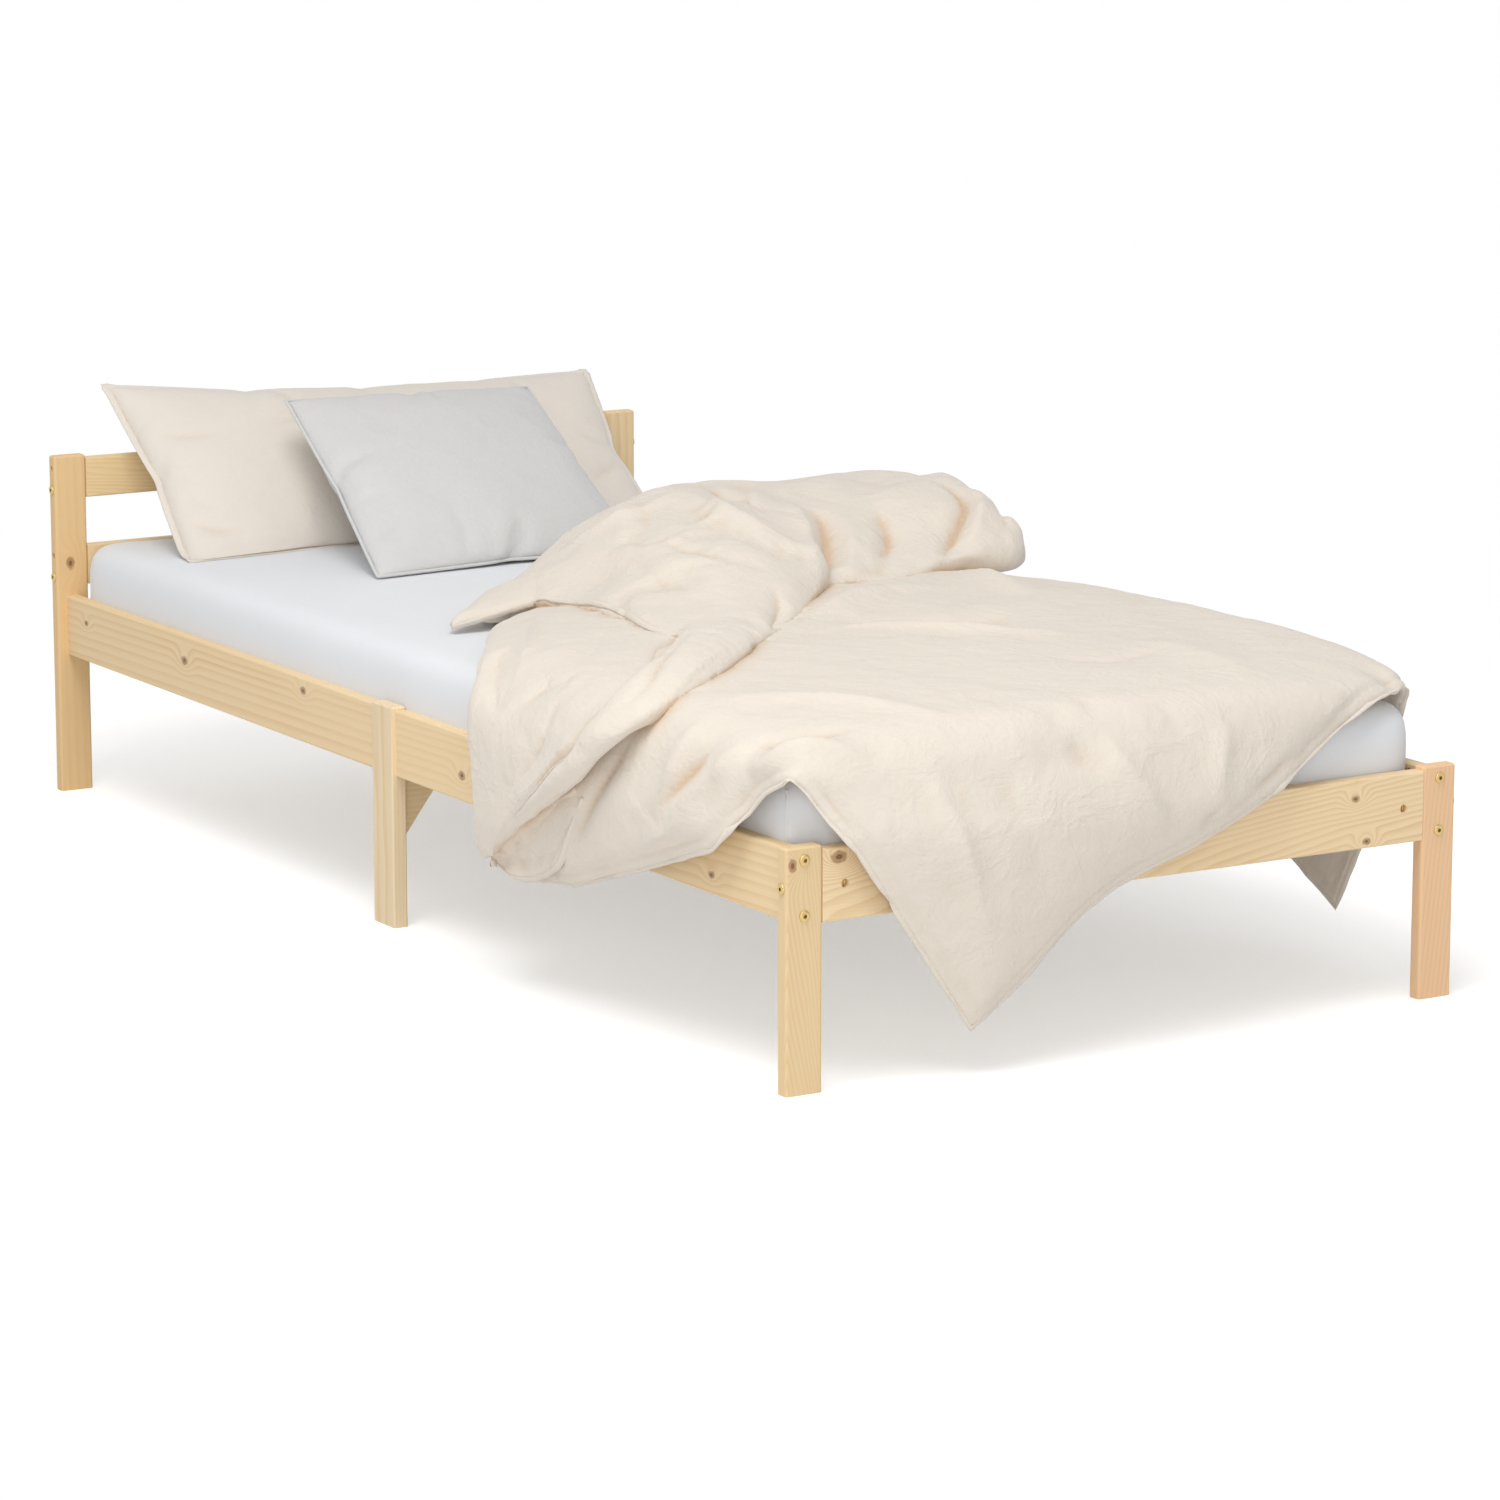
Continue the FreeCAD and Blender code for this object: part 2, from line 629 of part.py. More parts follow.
# Bolts and barrel nuts of the foot rail and of the head planks, and the plank dowels
cross_bolt = bolt(mm("cross_bolt_length"))
bolts = []
nuts = []
for side, sign in SIDES:
    y = -mm("post_mid_y")
    bolts.append(placed(cross_bolt, inward("x", sign), sign * mm("half_width"), y, mm("rail_mid_z")))
    nuts.append(nut_across("x", sign * (mm("post_inner_x") - mm("nut_setback")), y, mm("rail_mid_z")))
group("foot_rail_bolts", bolts)
group("foot_rail_nuts", nuts)
bolts = []
nuts = []
dowels = []
for side, sign in SIDES:
    for _, _, top in PLANKS:
        y = mm("post_mid_y")
        z = mm(top) - mm("plank_bolt_drop")
        bolts.append(placed(cross_bolt, inward("x", sign), sign * mm("half_width"), y, z))
        nuts.append(nut_across("x", sign * (mm("post_inner_x") - mm("nut_setback")), y, z))
        x = sign * (mm("half_width") - mm("dowel_recess"))
        z = mm(top) - mm("plank_dowel_drop")
        dowels.append(placed(dowel(mm("dowel_length")), inward("x", sign), x, y, z))
group("head_plank_bolts", bolts)
group("head_plank_nuts", nuts)
group("head_plank_dowels", dowels)

# Threaded rods through the mid legs, with a barrel nut in each rail half
rods = []
nuts = []
for side, sign in SIDES:
    for spread in (-1, 1):
        x = sign * mm("mid_rod_x")
        z = mm("rail_mid_z") + spread * mm("mid_rod_spread") / 2
        rod = shank(mm("bolt_diameter"), mm("mid_rod_length"))
        rods.append(placed(rod, "+y", x, -mm("mid_rod_length") / 2, z))
        for end, end_sign in ENDS:
            nuts.append(nut_across("y", x, end_sign * (mm("mid_leg_width") / 2 + mm("nut_setback")), z))
group("mid_leg_rods", rods)
group("mid_leg_nuts", nuts)

# Dowels of the beam and of the gussets
short = mm("short_dowel_length") - mm("dowel_clearance") * 2
beam_dowels = []
gusset_dowels = []
for side, sign in SIDES:
    way = inward("x", sign)
    x = sign * (mm("leg_inner_x") + short / 2)
    for spread in (-1, 1):
        y = spread * mm("beam_dowel_spread") / 2
        beam_dowels.append(placed(dowel(short), way, x, y, mm("ledger_mid_z")))
    z = mm("rail_bottom") - mm("gusset_drop") + mm("gusset_dowel_setback")
    gusset_dowels.append(placed(dowel(short), way, x, 0, z))
    x = sign * (mm("leg_inner_x") - mm("gusset_reach") + mm("gusset_dowel_setback"))
    gusset_dowels.append(placed(dowel(short), "+z", x, 0, mm("rail_bottom") - short / 2))
group("beam_dowels", beam_dowels)
group("gusset_dowels", gusset_dowels)

# Staples of the tapes
staples = []
for count in range(COUNTS["slats"]):
    for side, sign in SIDES:
        long, wire = mm("staple_length"), mm("staple_wire")
        x = sign * mm("tape_offset") - long / 2
        y = (count - middle_slat) * mm("slat_pitch") - wire / 2
        corner = FreeCAD.Vector(x, y, mm("slat_top") + mm("tape_thickness"))
        staples.append(Part.makeBox(long, wire, wire / 2, corner))
group("tape_staples", staples)


def soft(label, shape):
    feature = doc.addObject("Part::Feature", label)
    feature.Shape = shape
    return keep(feature, label)


def bend(points, kind):
    """Points spaced evenly along the arc through three points."""
    return Part.Arc(*points).toShape().discretize(Number=RUNS[kind] + 1)


def facet(*points):
    return Part.Face(Part.makePolygon([*points, points[0]]))


def flat_loft(sections):
    """A closed solid of flat facets through rings of as many points each."""
    faces = [facet(*sections[0]), facet(*sections[-1])]
    for ring, following in zip(sections, sections[1:]):
        for corner, point in enumerate(ring):
            faces.append(facet(ring[corner - 1], point, following[corner]))
            faces.append(facet(ring[corner - 1], following[corner], following[corner - 1]))
    shell = Part.makeShell(faces)
    shell.sewShape()
    solid = Part.makeSolid(shell)
    if solid.Volume < 0:
        solid.reverse()
    return solid


# Mattress: a block with round corners whose sides bulge above the rails
def round_rectangle(half_x, half_y, corner, z):
    """The ring of a level rectangle with round corners."""
    ring = []
    quarter = math.pi / 2
    for turn, (sx, sy) in enumerate([(1, 1), (-1, 1), (-1, -1), (1, -1)]):
        centre = FreeCAD.Vector(sx * (half_x - corner), sy * (half_y - corner), z)
        angles = [quarter * (turn + part_share) for part_share in (0, 0.5, 1)]
        spokes = [FreeCAD.Vector(math.cos(a), math.sin(a), 0) for a in angles]
        ring += bend([centre + spoke * corner for spoke in spokes], "corner")
    return ring


def mattress_form(grow, rise):
    """The mattress, or the same block grown all round and raised at the top."""
    edge = mm("mattress_edge")
    bulge = mm("mattress_bulge")
    base = mm("mattress_base")
    top = mm("mattress_top") + rise
    edge_shares = [(0, -1), (0.5, -0.134), (1, 0)]
    profile = [(base + share * edge / 2, out * edge / 2) for share, out in edge_shares]
    profile += [(mm("rail_top"), 0), (mm("rail_top") + bulge * 2, bulge)]
    profile += [(top - share * edge, bulge + out * edge) for share, out in reversed(edge_shares)]
    profile.append((top + mm("mattress_crown"), -mm("crown_inset")))
    rings = []
    for z, out in profile:
        half_x = mm("mattress_width") / 2 + out + grow
        half_y = mm("mattress_length") / 2 + out + grow
        rings.append(round_rectangle(half_x, half_y, mm("mattress_corner"), z))
    return flat_loft(rings)


soft("mattress", mattress_form(0, 0))
outside = mattress_form(mm("sheet_gap") + mm("sheet_thickness"), mm("sheet_gap") + mm("sheet_thickness"))
soft("fitted_sheet", outside.cut(mattress_form(mm("sheet_gap"), mm("sheet_gap"))))


# Pillow and cushion: crowned pads whose sides draw in between the corners
PAD_STATION_SHARES = (-1, -0.95, -0.82, -0.6, -0.3, 0, 0.3, 0.6, 0.82, 0.95, 1)
PAD_CROWN_SHARES = (0.03, 0.33, 0.68, 0.88, 0.97, 1, 0.97, 0.88, 0.68, 0.33, 0.03)
PAD_HEIGHT_SHARES = (1, 0.985, 0.965, 0.95, 0.94, 0.935, 0.94, 0.95, 0.965, 0.985, 1)


def pad_section(x, half, seam, crown):
    """One slice of a pad: two bends that meet at a thin seam on each side."""
    front = [(-half, seam / 2), (0, crown / 2 + seam / 2), (half, seam / 2)]
    back = [(half, -seam / 2), (0, -crown / 2 - seam / 2), (-half, -seam / 2)]
    ring = []
    for line in (front, back):
        ring += bend([FreeCAD.Vector(x, y, z) for y, z in line], "pad")
    return ring


def stuffed_pad(name):
    """A stuffed pad lying flat about its own middle."""
    rings = []
    for station, crown, height in zip(PAD_STATION_SHARES, PAD_CROWN_SHARES, PAD_HEIGHT_SHARES):
        x = station * mm(f"{name}_width") / 2
        half = height * mm(f"{name}_height") / 2
        rings.append(pad_section(x, half, mm(f"{name}_seam"), crown * mm(f"{name}_thickness")))
    return flat_loft(rings)


def slope(name):
    return math.radians(ANGLES[f"{name}_lean"])


def level_reach(name):
    """How far a leaning pad's fullest face lies from its middle, measured level."""
    return (mm(f"{name}_thickness") + mm(f"{name}_seam")) / 2 / math.sin(slope(name))


def tilted_pad(name, turn):
    """A pad that leans back on the bed, and the height of its middle."""
    form = stuffed_pad(name)
    tilt = FreeCAD.Rotation(Z_AXIS, turn) * FreeCAD.Rotation(X_AXIS, ANGLES[f"{name}_lean"])
    form.Placement = FreeCAD.Placement(FreeCAD.Vector(), tilt)
    lowest = form.optimalBoundingBox(False, False).ZMin
    return form, mm("bed_top") + mm("rest_gap") - mm(f"{name}_sink") - lowest


def resting_pad(name, form, y, z):
    """Set a tilted pad down on the bed and cut it flat where it rests."""
    form.translate(FreeCAD.Vector(mm(f"{name}_centre_x"), y, z))
    reach = mm(f"{name}_width")
    floor = mm("bed_top") + mm("rest_gap")
    under = Part.makeBox(reach * 2, reach * 2, reach, FreeCAD.Vector(-reach, y - reach, floor - reach))
    return soft(name, form.cut(under))


# The pillow leans on the top edge of the upper plank, and the cushion leans on the pillow
form, pillow_z = tilted_pad("pillow", 0)
plank_front = mm("post_mid_y") - mm("plank_thickness") / 2
pillow_y = plank_front - mm("pillow_plank_gap") - level_reach("pillow")
pillow_y -= (mm("upper_plank_top") - pillow_z) / math.tan(slope("pillow"))
resting_pad("pillow", form, pillow_y, pillow_z)
form, cushion_z = tilted_pad("cushion", ANGLES["cushion_turn"])
cushion_y = pillow_y + (cushion_z - pillow_z) / math.tan(slope("pillow")) + mm("cushion_nestle")
cushion_y -= level_reach("pillow") + level_reach("cushion")
resting_pad("cushion", form, cushion_y, cushion_z)

# Duvet: a quilt on the bed with its head end thrown back into a roll, and three hanging sides
# Places along the bed are shares of the half length, heights of hems shares of the bed's top.
QUILT_SLICES = (
    # near end share, far end share, thickness share of the quilt, thickness share of the roll
    (-0.99, -0.99, 0.5, 0),
    (-0.93, -0.86, 0.95, 0),
    (-0.78, -0.5, 1.1, 0),
    (-0.6, -0.12, 1, 0),
    (-0.5, 0.06, 0.6, 0.6),
    (-0.41, 0.24, 0, 1),
    (-0.33, 0.38, 0, 0.6),
    (-0.3, 0.43, 0.4, 0),
)
QUILT_VALLEY_SHARES = (0, 0.36, 0.69, 1)
QUILT_DIP_SHARES = (0.55, 0.78, 0.72, 0.55)


def quilt_slice(near_share, far_share, quilt_share, roll_share):
    """An upright slice of the quilt between two points of its long sides."""
    floor = mm("bed_top") + mm("rest_gap")
    half = mm("half_length")
    near = FreeCAD.Vector(-mm("quilt_edge_x"), near_share * half, floor)
    far = FreeCAD.Vector(mm("quilt_edge_x"), far_share * half, floor)
    high = quilt_share * mm("quilt_thickness") + roll_share * mm("roll_thickness")
    valleys = []
    for along_share, dip in zip(QUILT_VALLEY_SHARES, QUILT_DIP_SHARES):
        valleys.append(near + (far - near) * along_share + Z_AXIS * high * dip)
    ring = [near]
    for start, end in zip(valleys, valleys[1:]):
        crest = (start + end) / 2
        crest.z = floor + high
        ring += bend([start, crest, end], "quilt")[:-1]
    return ring + [valleys[-1], far]


def hang_slice(inner, outer, hem, lap, thick):
    """A slice of a hanging side: bends and points of distance out and height, a hook over the edge."""
    floor = mm("bed_top") + mm("rest_gap")
    top = floor + mm("quilt_thickness") / 2
    hem_high = mm("hem_thickness")
    drop = floor - hem
    shoulder = [(inner - lap, top), (inner + thick / 2, top - thick / 8), (outer, floor - thick / 4)]
    belly = [(outer, floor - thick / 4), (outer + thick / 6, hem + drop / 2), (outer, hem + hem_high)]
    edge = [(outer, hem + hem_high), (outer - thick / 8, hem + hem_high / 4), (inner + thick / 2, hem)]
    back = [(inner, hem + hem_high / 2), (inner, floor), (inner - lap, floor)]
    return [shoulder, belly, edge], back


def hang(stations, thick, inner, lap, to_space):
    """A hanging side lofted through slices. Each station is a place and the height of its hem."""
    rings = []
    for place, hem, thick_share in stations:
        bends, back = hang_slice(inner, inner + thick * thick_share, hem, lap, thick * thick_share)
        ring = []
        for line in bends:
            ring += bend([to_space(place, out, z) for out, z in line], "hang")[:-1]
        out, z = bends[-1][-1]
        ring += [to_space(place, out, z) for out, z in [(out, z)] + back]
        rings.append(ring)
    return flat_loft(rings)


NEAR_HANG_SHARES = (
    # place along the half length, hem as a share of the bed's top, thickness share
    (-0.93, 0.9, 0.4),
    (-0.8, 0.66, 0.75),
    (-0.65, 0.56, 0.6),
    (-0.55, 0.44, 1),
    (-0.44, 0.36, 0.85),
    (-0.37, 0.38, 1),
    (-0.33, 0.5, 0.6),
)
FAR_HANG_SHARES = (
    (-0.91, 0.93, 0.5),
    (-0.77, 0.17, 0.9),
    (-0.58, 0.27, 0.7),
    (-0.42, 0.38, 1),
    (-0.2, 0.52, 0.7),
    (0, 0.67, 1),
    (0.28, 0.87, 0.6),
)
FOOT_HANG_SHARES = (
    # place along the half width, hem as a share of the bed's top, thickness share
    (-0.82, 0.83, 0.6),
    (-0.49, 0.13, 1),
    (-0.18, 0.42, 0.7),
    (0.15, 0.69, 1),
    (0.5, 0.86, 0.8),
    (0.78, 0.91, 0.6),
)


def stations(shares, reach):
    return [(place * reach, hem * mm("bed_top"), thick) for place, hem, thick in shares]


def near_space(place, out, z):
    return FreeCAD.Vector(-out, place, z)


def far_space(place, out, z):
    return FreeCAD.Vector(out, place, z)


def foot_space(place, out, z):
    return FreeCAD.Vector(place, -out, z)


lap = mm("quilt_lap")
duvet = flat_loft([quilt_slice(*row) for row in QUILT_SLICES])
for table, reach, name, inner, space in (
    (NEAR_HANG_SHARES, "half_length", "near_hang_thickness", "hang_inner_x", near_space),
    (FAR_HANG_SHARES, "half_length", "far_hang_thickness", "hang_inner_x", far_space),
    (FOOT_HANG_SHARES, "half_width", "foot_hang_thickness", "hang_inner_y", foot_space),
):
    duvet = duvet.fuse(hang(stations(table, mm(reach)), mm(name), mm(inner), lap, space))
soft("duvet", duvet.removeSplitter())

# Nothing is written unless every feature and every sub-part came out sound
doc.recompute()
failed = [item.Label for item in doc.Objects if {"Invalid", "Error"} & set(item.State)]
failed += [item.Label for item in nodes if item.Shape.isNull() or not item.Shape.isValid()]
if failed:
    raise RuntimeError(f"these pieces failed: {sorted(set(failed))}")
os.makedirs("parts", exist_ok=True)
for item in nodes:
    item.Shape.exportStep(f"parts/{item.Label}.step")
print(len(nodes), "sub-parts,", sum(len(item.Shape.Solids) for item in nodes), "solids")
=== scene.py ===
"""Looks of a dressed pine bed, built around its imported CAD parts.

The boards, dowels, rods, tapes and staples keep their CAD shapes and get finishes here.
Bolts and barrel nuts are made anew, with sockets and slots. The bedding is made as cloth:
a mattress with its fitted sheet, a pillow, a cushion and a duvet.
"""

import math

import bmesh
import bpy
import numpy as np
from bpy.props import FloatProperty, FloatVectorProperty, IntProperty, PointerProperty
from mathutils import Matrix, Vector
from mathutils.bvhtree import BVHTree
from mathutils.kdtree import KDTree


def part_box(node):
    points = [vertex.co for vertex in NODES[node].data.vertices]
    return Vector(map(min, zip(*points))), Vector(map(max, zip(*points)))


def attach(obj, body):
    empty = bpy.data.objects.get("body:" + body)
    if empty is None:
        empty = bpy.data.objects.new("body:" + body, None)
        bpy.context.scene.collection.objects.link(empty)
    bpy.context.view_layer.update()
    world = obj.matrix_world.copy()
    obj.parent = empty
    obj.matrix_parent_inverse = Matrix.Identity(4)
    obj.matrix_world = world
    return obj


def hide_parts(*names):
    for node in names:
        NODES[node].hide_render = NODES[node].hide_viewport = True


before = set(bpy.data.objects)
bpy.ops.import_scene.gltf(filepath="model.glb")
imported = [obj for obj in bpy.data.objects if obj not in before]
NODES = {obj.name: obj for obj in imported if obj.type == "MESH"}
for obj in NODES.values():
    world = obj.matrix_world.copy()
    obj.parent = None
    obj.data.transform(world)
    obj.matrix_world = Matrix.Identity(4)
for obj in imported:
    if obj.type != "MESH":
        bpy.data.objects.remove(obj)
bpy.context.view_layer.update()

bl_info = {
    "name": "Dressed pine bed",
    "version": (1, 0, 0),
    "blender": (4, 5, 0),
    "location": "View3D > Sidebar > Bed",
    "description": "Finishes, fastenings and bedding of a pine bed",
    "category": "Object",
}

# The level that the bedding lies on.
BED_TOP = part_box("fitted_sheet")[1].z


def colour_of(name, description, default):
    """A colour that the sidebar shows."""
    return FloatVectorProperty(
        name=name, description=description, default=default, subtype="COLOR", min=0, max=1
    )


def size_of(name, description, default):
    """A length that the sidebar shows in metres."""
    return FloatProperty(name=name, description=description, default=default, unit="LENGTH")


class TimberSettings(bpy.types.PropertyGroup):
    """Colours and grain of the boards."""

    spring: colour_of("Spring wood", "Pale wood between the rings", (0.845, 0.655, 0.40))
    summer: colour_of("Summer wood", "Dark line of each ring", (0.735, 0.485, 0.23))
    rosy: colour_of("Rosy spring wood", "Pale wood of the redder board", (0.875, 0.58, 0.34))
    knot: colour_of("Knot", "Heart of a knot", (0.20, 0.072, 0.020))
    slat: colour_of("Slat wood", "Pale wood of the slats and ledgers", (0.82, 0.68, 0.48))
    beech: colour_of("Dowel wood", "Wood of the dowels", (0.62, 0.42, 0.24))
    ring_width: size_of("Ring width", "Width of one year's growth", 0.0052)
    knot_depth: FloatProperty(
        name="Knot strength", description="How dark the knots are", default=0.95, subtype="FACTOR"
    )


class FasteningSettings(bpy.types.PropertyGroup):
    """Finishes of the metal pieces and of the webbing."""

    zinc: colour_of("Yellow zinc", "Bolts, rods and barrel nuts", (0.66, 0.50, 0.22))
    steel: colour_of("Steel", "Staples", (0.62, 0.62, 0.60))
    webbing: colour_of("Webbing", "Tapes under the mattress", (0.86, 0.85, 0.80))
    sides: IntProperty(name="Sides", description="Sides of a round head", default=24, min=12)


class BeddingSettings(bpy.types.PropertyGroup):
    """Sizes and colours of the cloth pieces."""

    ticking: colour_of("Ticking", "Cover of the mattress", (0.86, 0.85, 0.82))
    sheet: colour_of("Sheet", "Cotton of the fitted sheet", (0.815, 0.83, 0.855))
    pillow: colour_of("Pillow", "Cotton of the pillow", (0.785, 0.72, 0.64))
    cushion: colour_of("Cushion", "Linen of the cushion", (0.665, 0.66, 0.648))
    duvet: colour_of("Duvet", "Cotton of the duvet", (0.795, 0.72, 0.628))
    pillow_width: size_of("Pillow width", "Across the bed, flat", 0.845)
    pillow_height: size_of("Pillow height", "Along the bed, flat", 0.425)
    cushion_width: size_of("Cushion width", "Across the bed, flat", 0.47)
    cushion_height: size_of("Cushion height", "Along the bed, flat", 0.43)
    duvet_width: size_of("Duvet width", "Short side, filled", 1.185)
    duvet_reach: size_of("Duvet reach", "Length of the lower layer", 1.08)
    duvet_loft: size_of("Duvet loft", "Thickness of the filled quilt", 0.038)


class StageSettings(bpy.types.PropertyGroup):
    """Camera, floor and lamps."""

    floor: colour_of("Floor", "Plain pale floor", (0.86, 0.86, 0.86))
    lens: FloatProperty(name="Lens", description="Focal length in millimetres", default=133.45)
    yaw: FloatProperty(
        name="Yaw", description="Turn of the view", default=math.radians(-30.989), subtype="ANGLE"
    )
    pitch: FloatProperty(
        name="Pitch", description="Dip of the view", default=math.radians(11.301), subtype="ANGLE"
    )
    sky: FloatProperty(name="Sky", description="Level of the even light", default=0.56)
    key: FloatProperty(name="Key lamp", description="Power of the overhead lamp", default=88.0)
    fill: FloatProperty(name="Fill lamp", description="Power of the low lamp", default=54.0)


# Shaders


class Wire:
    """A shader socket that takes part in Python arithmetic."""

    def __init__(self, finish, socket):
        self.finish = finish
        self.socket = socket

    def out(self, output):
        """Another output of the same node."""
        return Wire(self.finish, self.socket.node.outputs[output])

    def maths(self, operation, first, second=0.0):
        """One Math node on two values."""
        return self.finish.node("ShaderNodeMath", {"operation": operation}, {0: first, 1: second})

    def __add__(self, other):
        return self.maths("ADD", self, other)

    __radd__ = __add__

    def __sub__(self, other):
        return self.maths("SUBTRACT", self, other)

    def __rsub__(self, other):
        return self.maths("SUBTRACT", other, self)

    def __mul__(self, other):
        return self.maths("MULTIPLY", self, other)

    __rmul__ = __mul__

    def __truediv__(self, other):
        return self.maths("DIVIDE", self, other)

    def __pow__(self, other):
        return self.maths("POWER", self, other)

    def __abs__(self):
        return self.maths("ABSOLUTE", self)

    def fraction(self):
        """The part after the decimal point."""
        return self.maths("FRACT", self)

    def sine(self):
        """The sine of the value."""
        return self.maths("SINE", self)

    def at_least(self, other):
        """The larger of two values."""
        return self.maths("MAXIMUM", self, other)

    def step(self, low, high):
        """A soft step from 0 at low to 1 at high."""
        return self.finish.node(
            "ShaderNodeMapRange",
            {"interpolation_type": "SMOOTHSTEP"},
            {"Value": self, "From Min": low, "From Max": high},
        )


class Finish:
    """A material, or the stage's sky, in the making."""

    def __init__(self, name, sky=False):
        self.material = (bpy.data.worlds if sky else bpy.data.materials).new(name)
        self.material.use_nodes = True
        self.tree = self.material.node_tree
        self.shader = self.tree.nodes["Background" if sky else "Principled BSDF"]
        self.result = self.tree.nodes["World Output" if sky else "Material Output"]

    def node(self, kind, settings=None, sockets=None, output=0):
        """Adds a node: its settings first, then the values or links of its sockets."""
        made = self.tree.nodes.new(kind)
        for key, value in (settings or {}).items():
            setattr(made, key, value)
        self.fill(made, sockets or {})
        return Wire(self, made.outputs[output])

    def fill(self, made, sockets):
        """Sets or links a node's sockets."""
        for key, value in sockets.items():
            if isinstance(value, Wire):
                self.tree.links.new(value.socket, made.inputs[key])
            else:
                made.inputs[key].default_value = value

    def surface(self, **sockets):
        """Sets or links the sockets of the material's own shader."""
        self.fill(self.shader, {key.replace("_", " "): value for key, value in sockets.items()})
        return self.material

    def place(self):
        """Where a point is on the piece, in metres."""
        return self.node("ShaderNodeTexCoord", output="Object")

    def parts(self, vector):
        """The three parts of a vector."""
        split = self.node("ShaderNodeSeparateXYZ", sockets={0: vector})
        return split, split.out(1), split.out(2)

    def vector(self, x, y, z):
        """A vector from three values."""
        return self.node("ShaderNodeCombineXYZ", sockets={0: x, 1: y, 2: z})

    def noise(self, vector, scale, detail=2.0, roughness=0.5, distortion=0.0):
        """Soft noise, about 0.5 in the middle."""
        return self.node(
            "ShaderNodeTexNoise",
            sockets={
                "Vector": vector,
                "Scale": scale,
                "Detail": detail,
                "Roughness": roughness,
                "Distortion": distortion,
            },
        )

    def vectors(self, operation, sockets, output=0):
        """One Vector Math node."""
        return self.node("ShaderNodeVectorMath", {"operation": operation}, sockets, output)

    def distance(self, vector, centre, stretch):
        """How far a point is from a centre, with each axis divided by its stretch."""
        off = self.vectors("SUBTRACT", {0: vector, 1: centre})
        scaled = self.vectors("DIVIDE", {0: off, 1: stretch})
        return self.vectors("LENGTH", {0: scaled}, "Value")

    def mix(self, factor, first, second):
        """One colour over another."""
        sockets = {0: factor, 6: rgba(first), 7: rgba(second)}
        return self.node("ShaderNodeMix", {"data_type": "RGBA"}, sockets, 2)

    def where_seen(self, hidden, seen):
        """One shader for the rays that light the bed, one for those that show the background."""
        path = self.node("ShaderNodeLightPath", output="Is Camera Ray")
        shown = path.at_least(path.out("Is Glossy Ray")).at_least(path.out("Is Transmission Ray"))
        mixed = self.node("ShaderNodeMixShader", sockets={0: shown, 1: hidden, 2: seen})
        self.fill(self.result, {"Surface": mixed})

    def bump(self, height, strength, distance, **more):
        """A normal from a height."""
        sockets = {"Height": height, "Strength": strength, "Distance": distance, **more}
        return self.node("ShaderNodeBump", sockets=sockets)


def rgba(colour):
    """A colour as a node wants it."""
    return colour if isinstance(colour, Wire) else (*colour[:3], 1.0)


def shade(colour, share):
    """A darker or lighter tone of a colour."""
    return tuple(min(1.0, part * share) for part in colour[:3])


def tinted(colour, tint):
    """A colour with each of its parts multiplied by a tint's."""
    return tuple(a * b for a, b in zip(colour, tint))


# How far a knot turns the rings, and how far from it, as shares of its size.
KNOT_SWIRL = 1.9
KNOT_REACH = 4.5


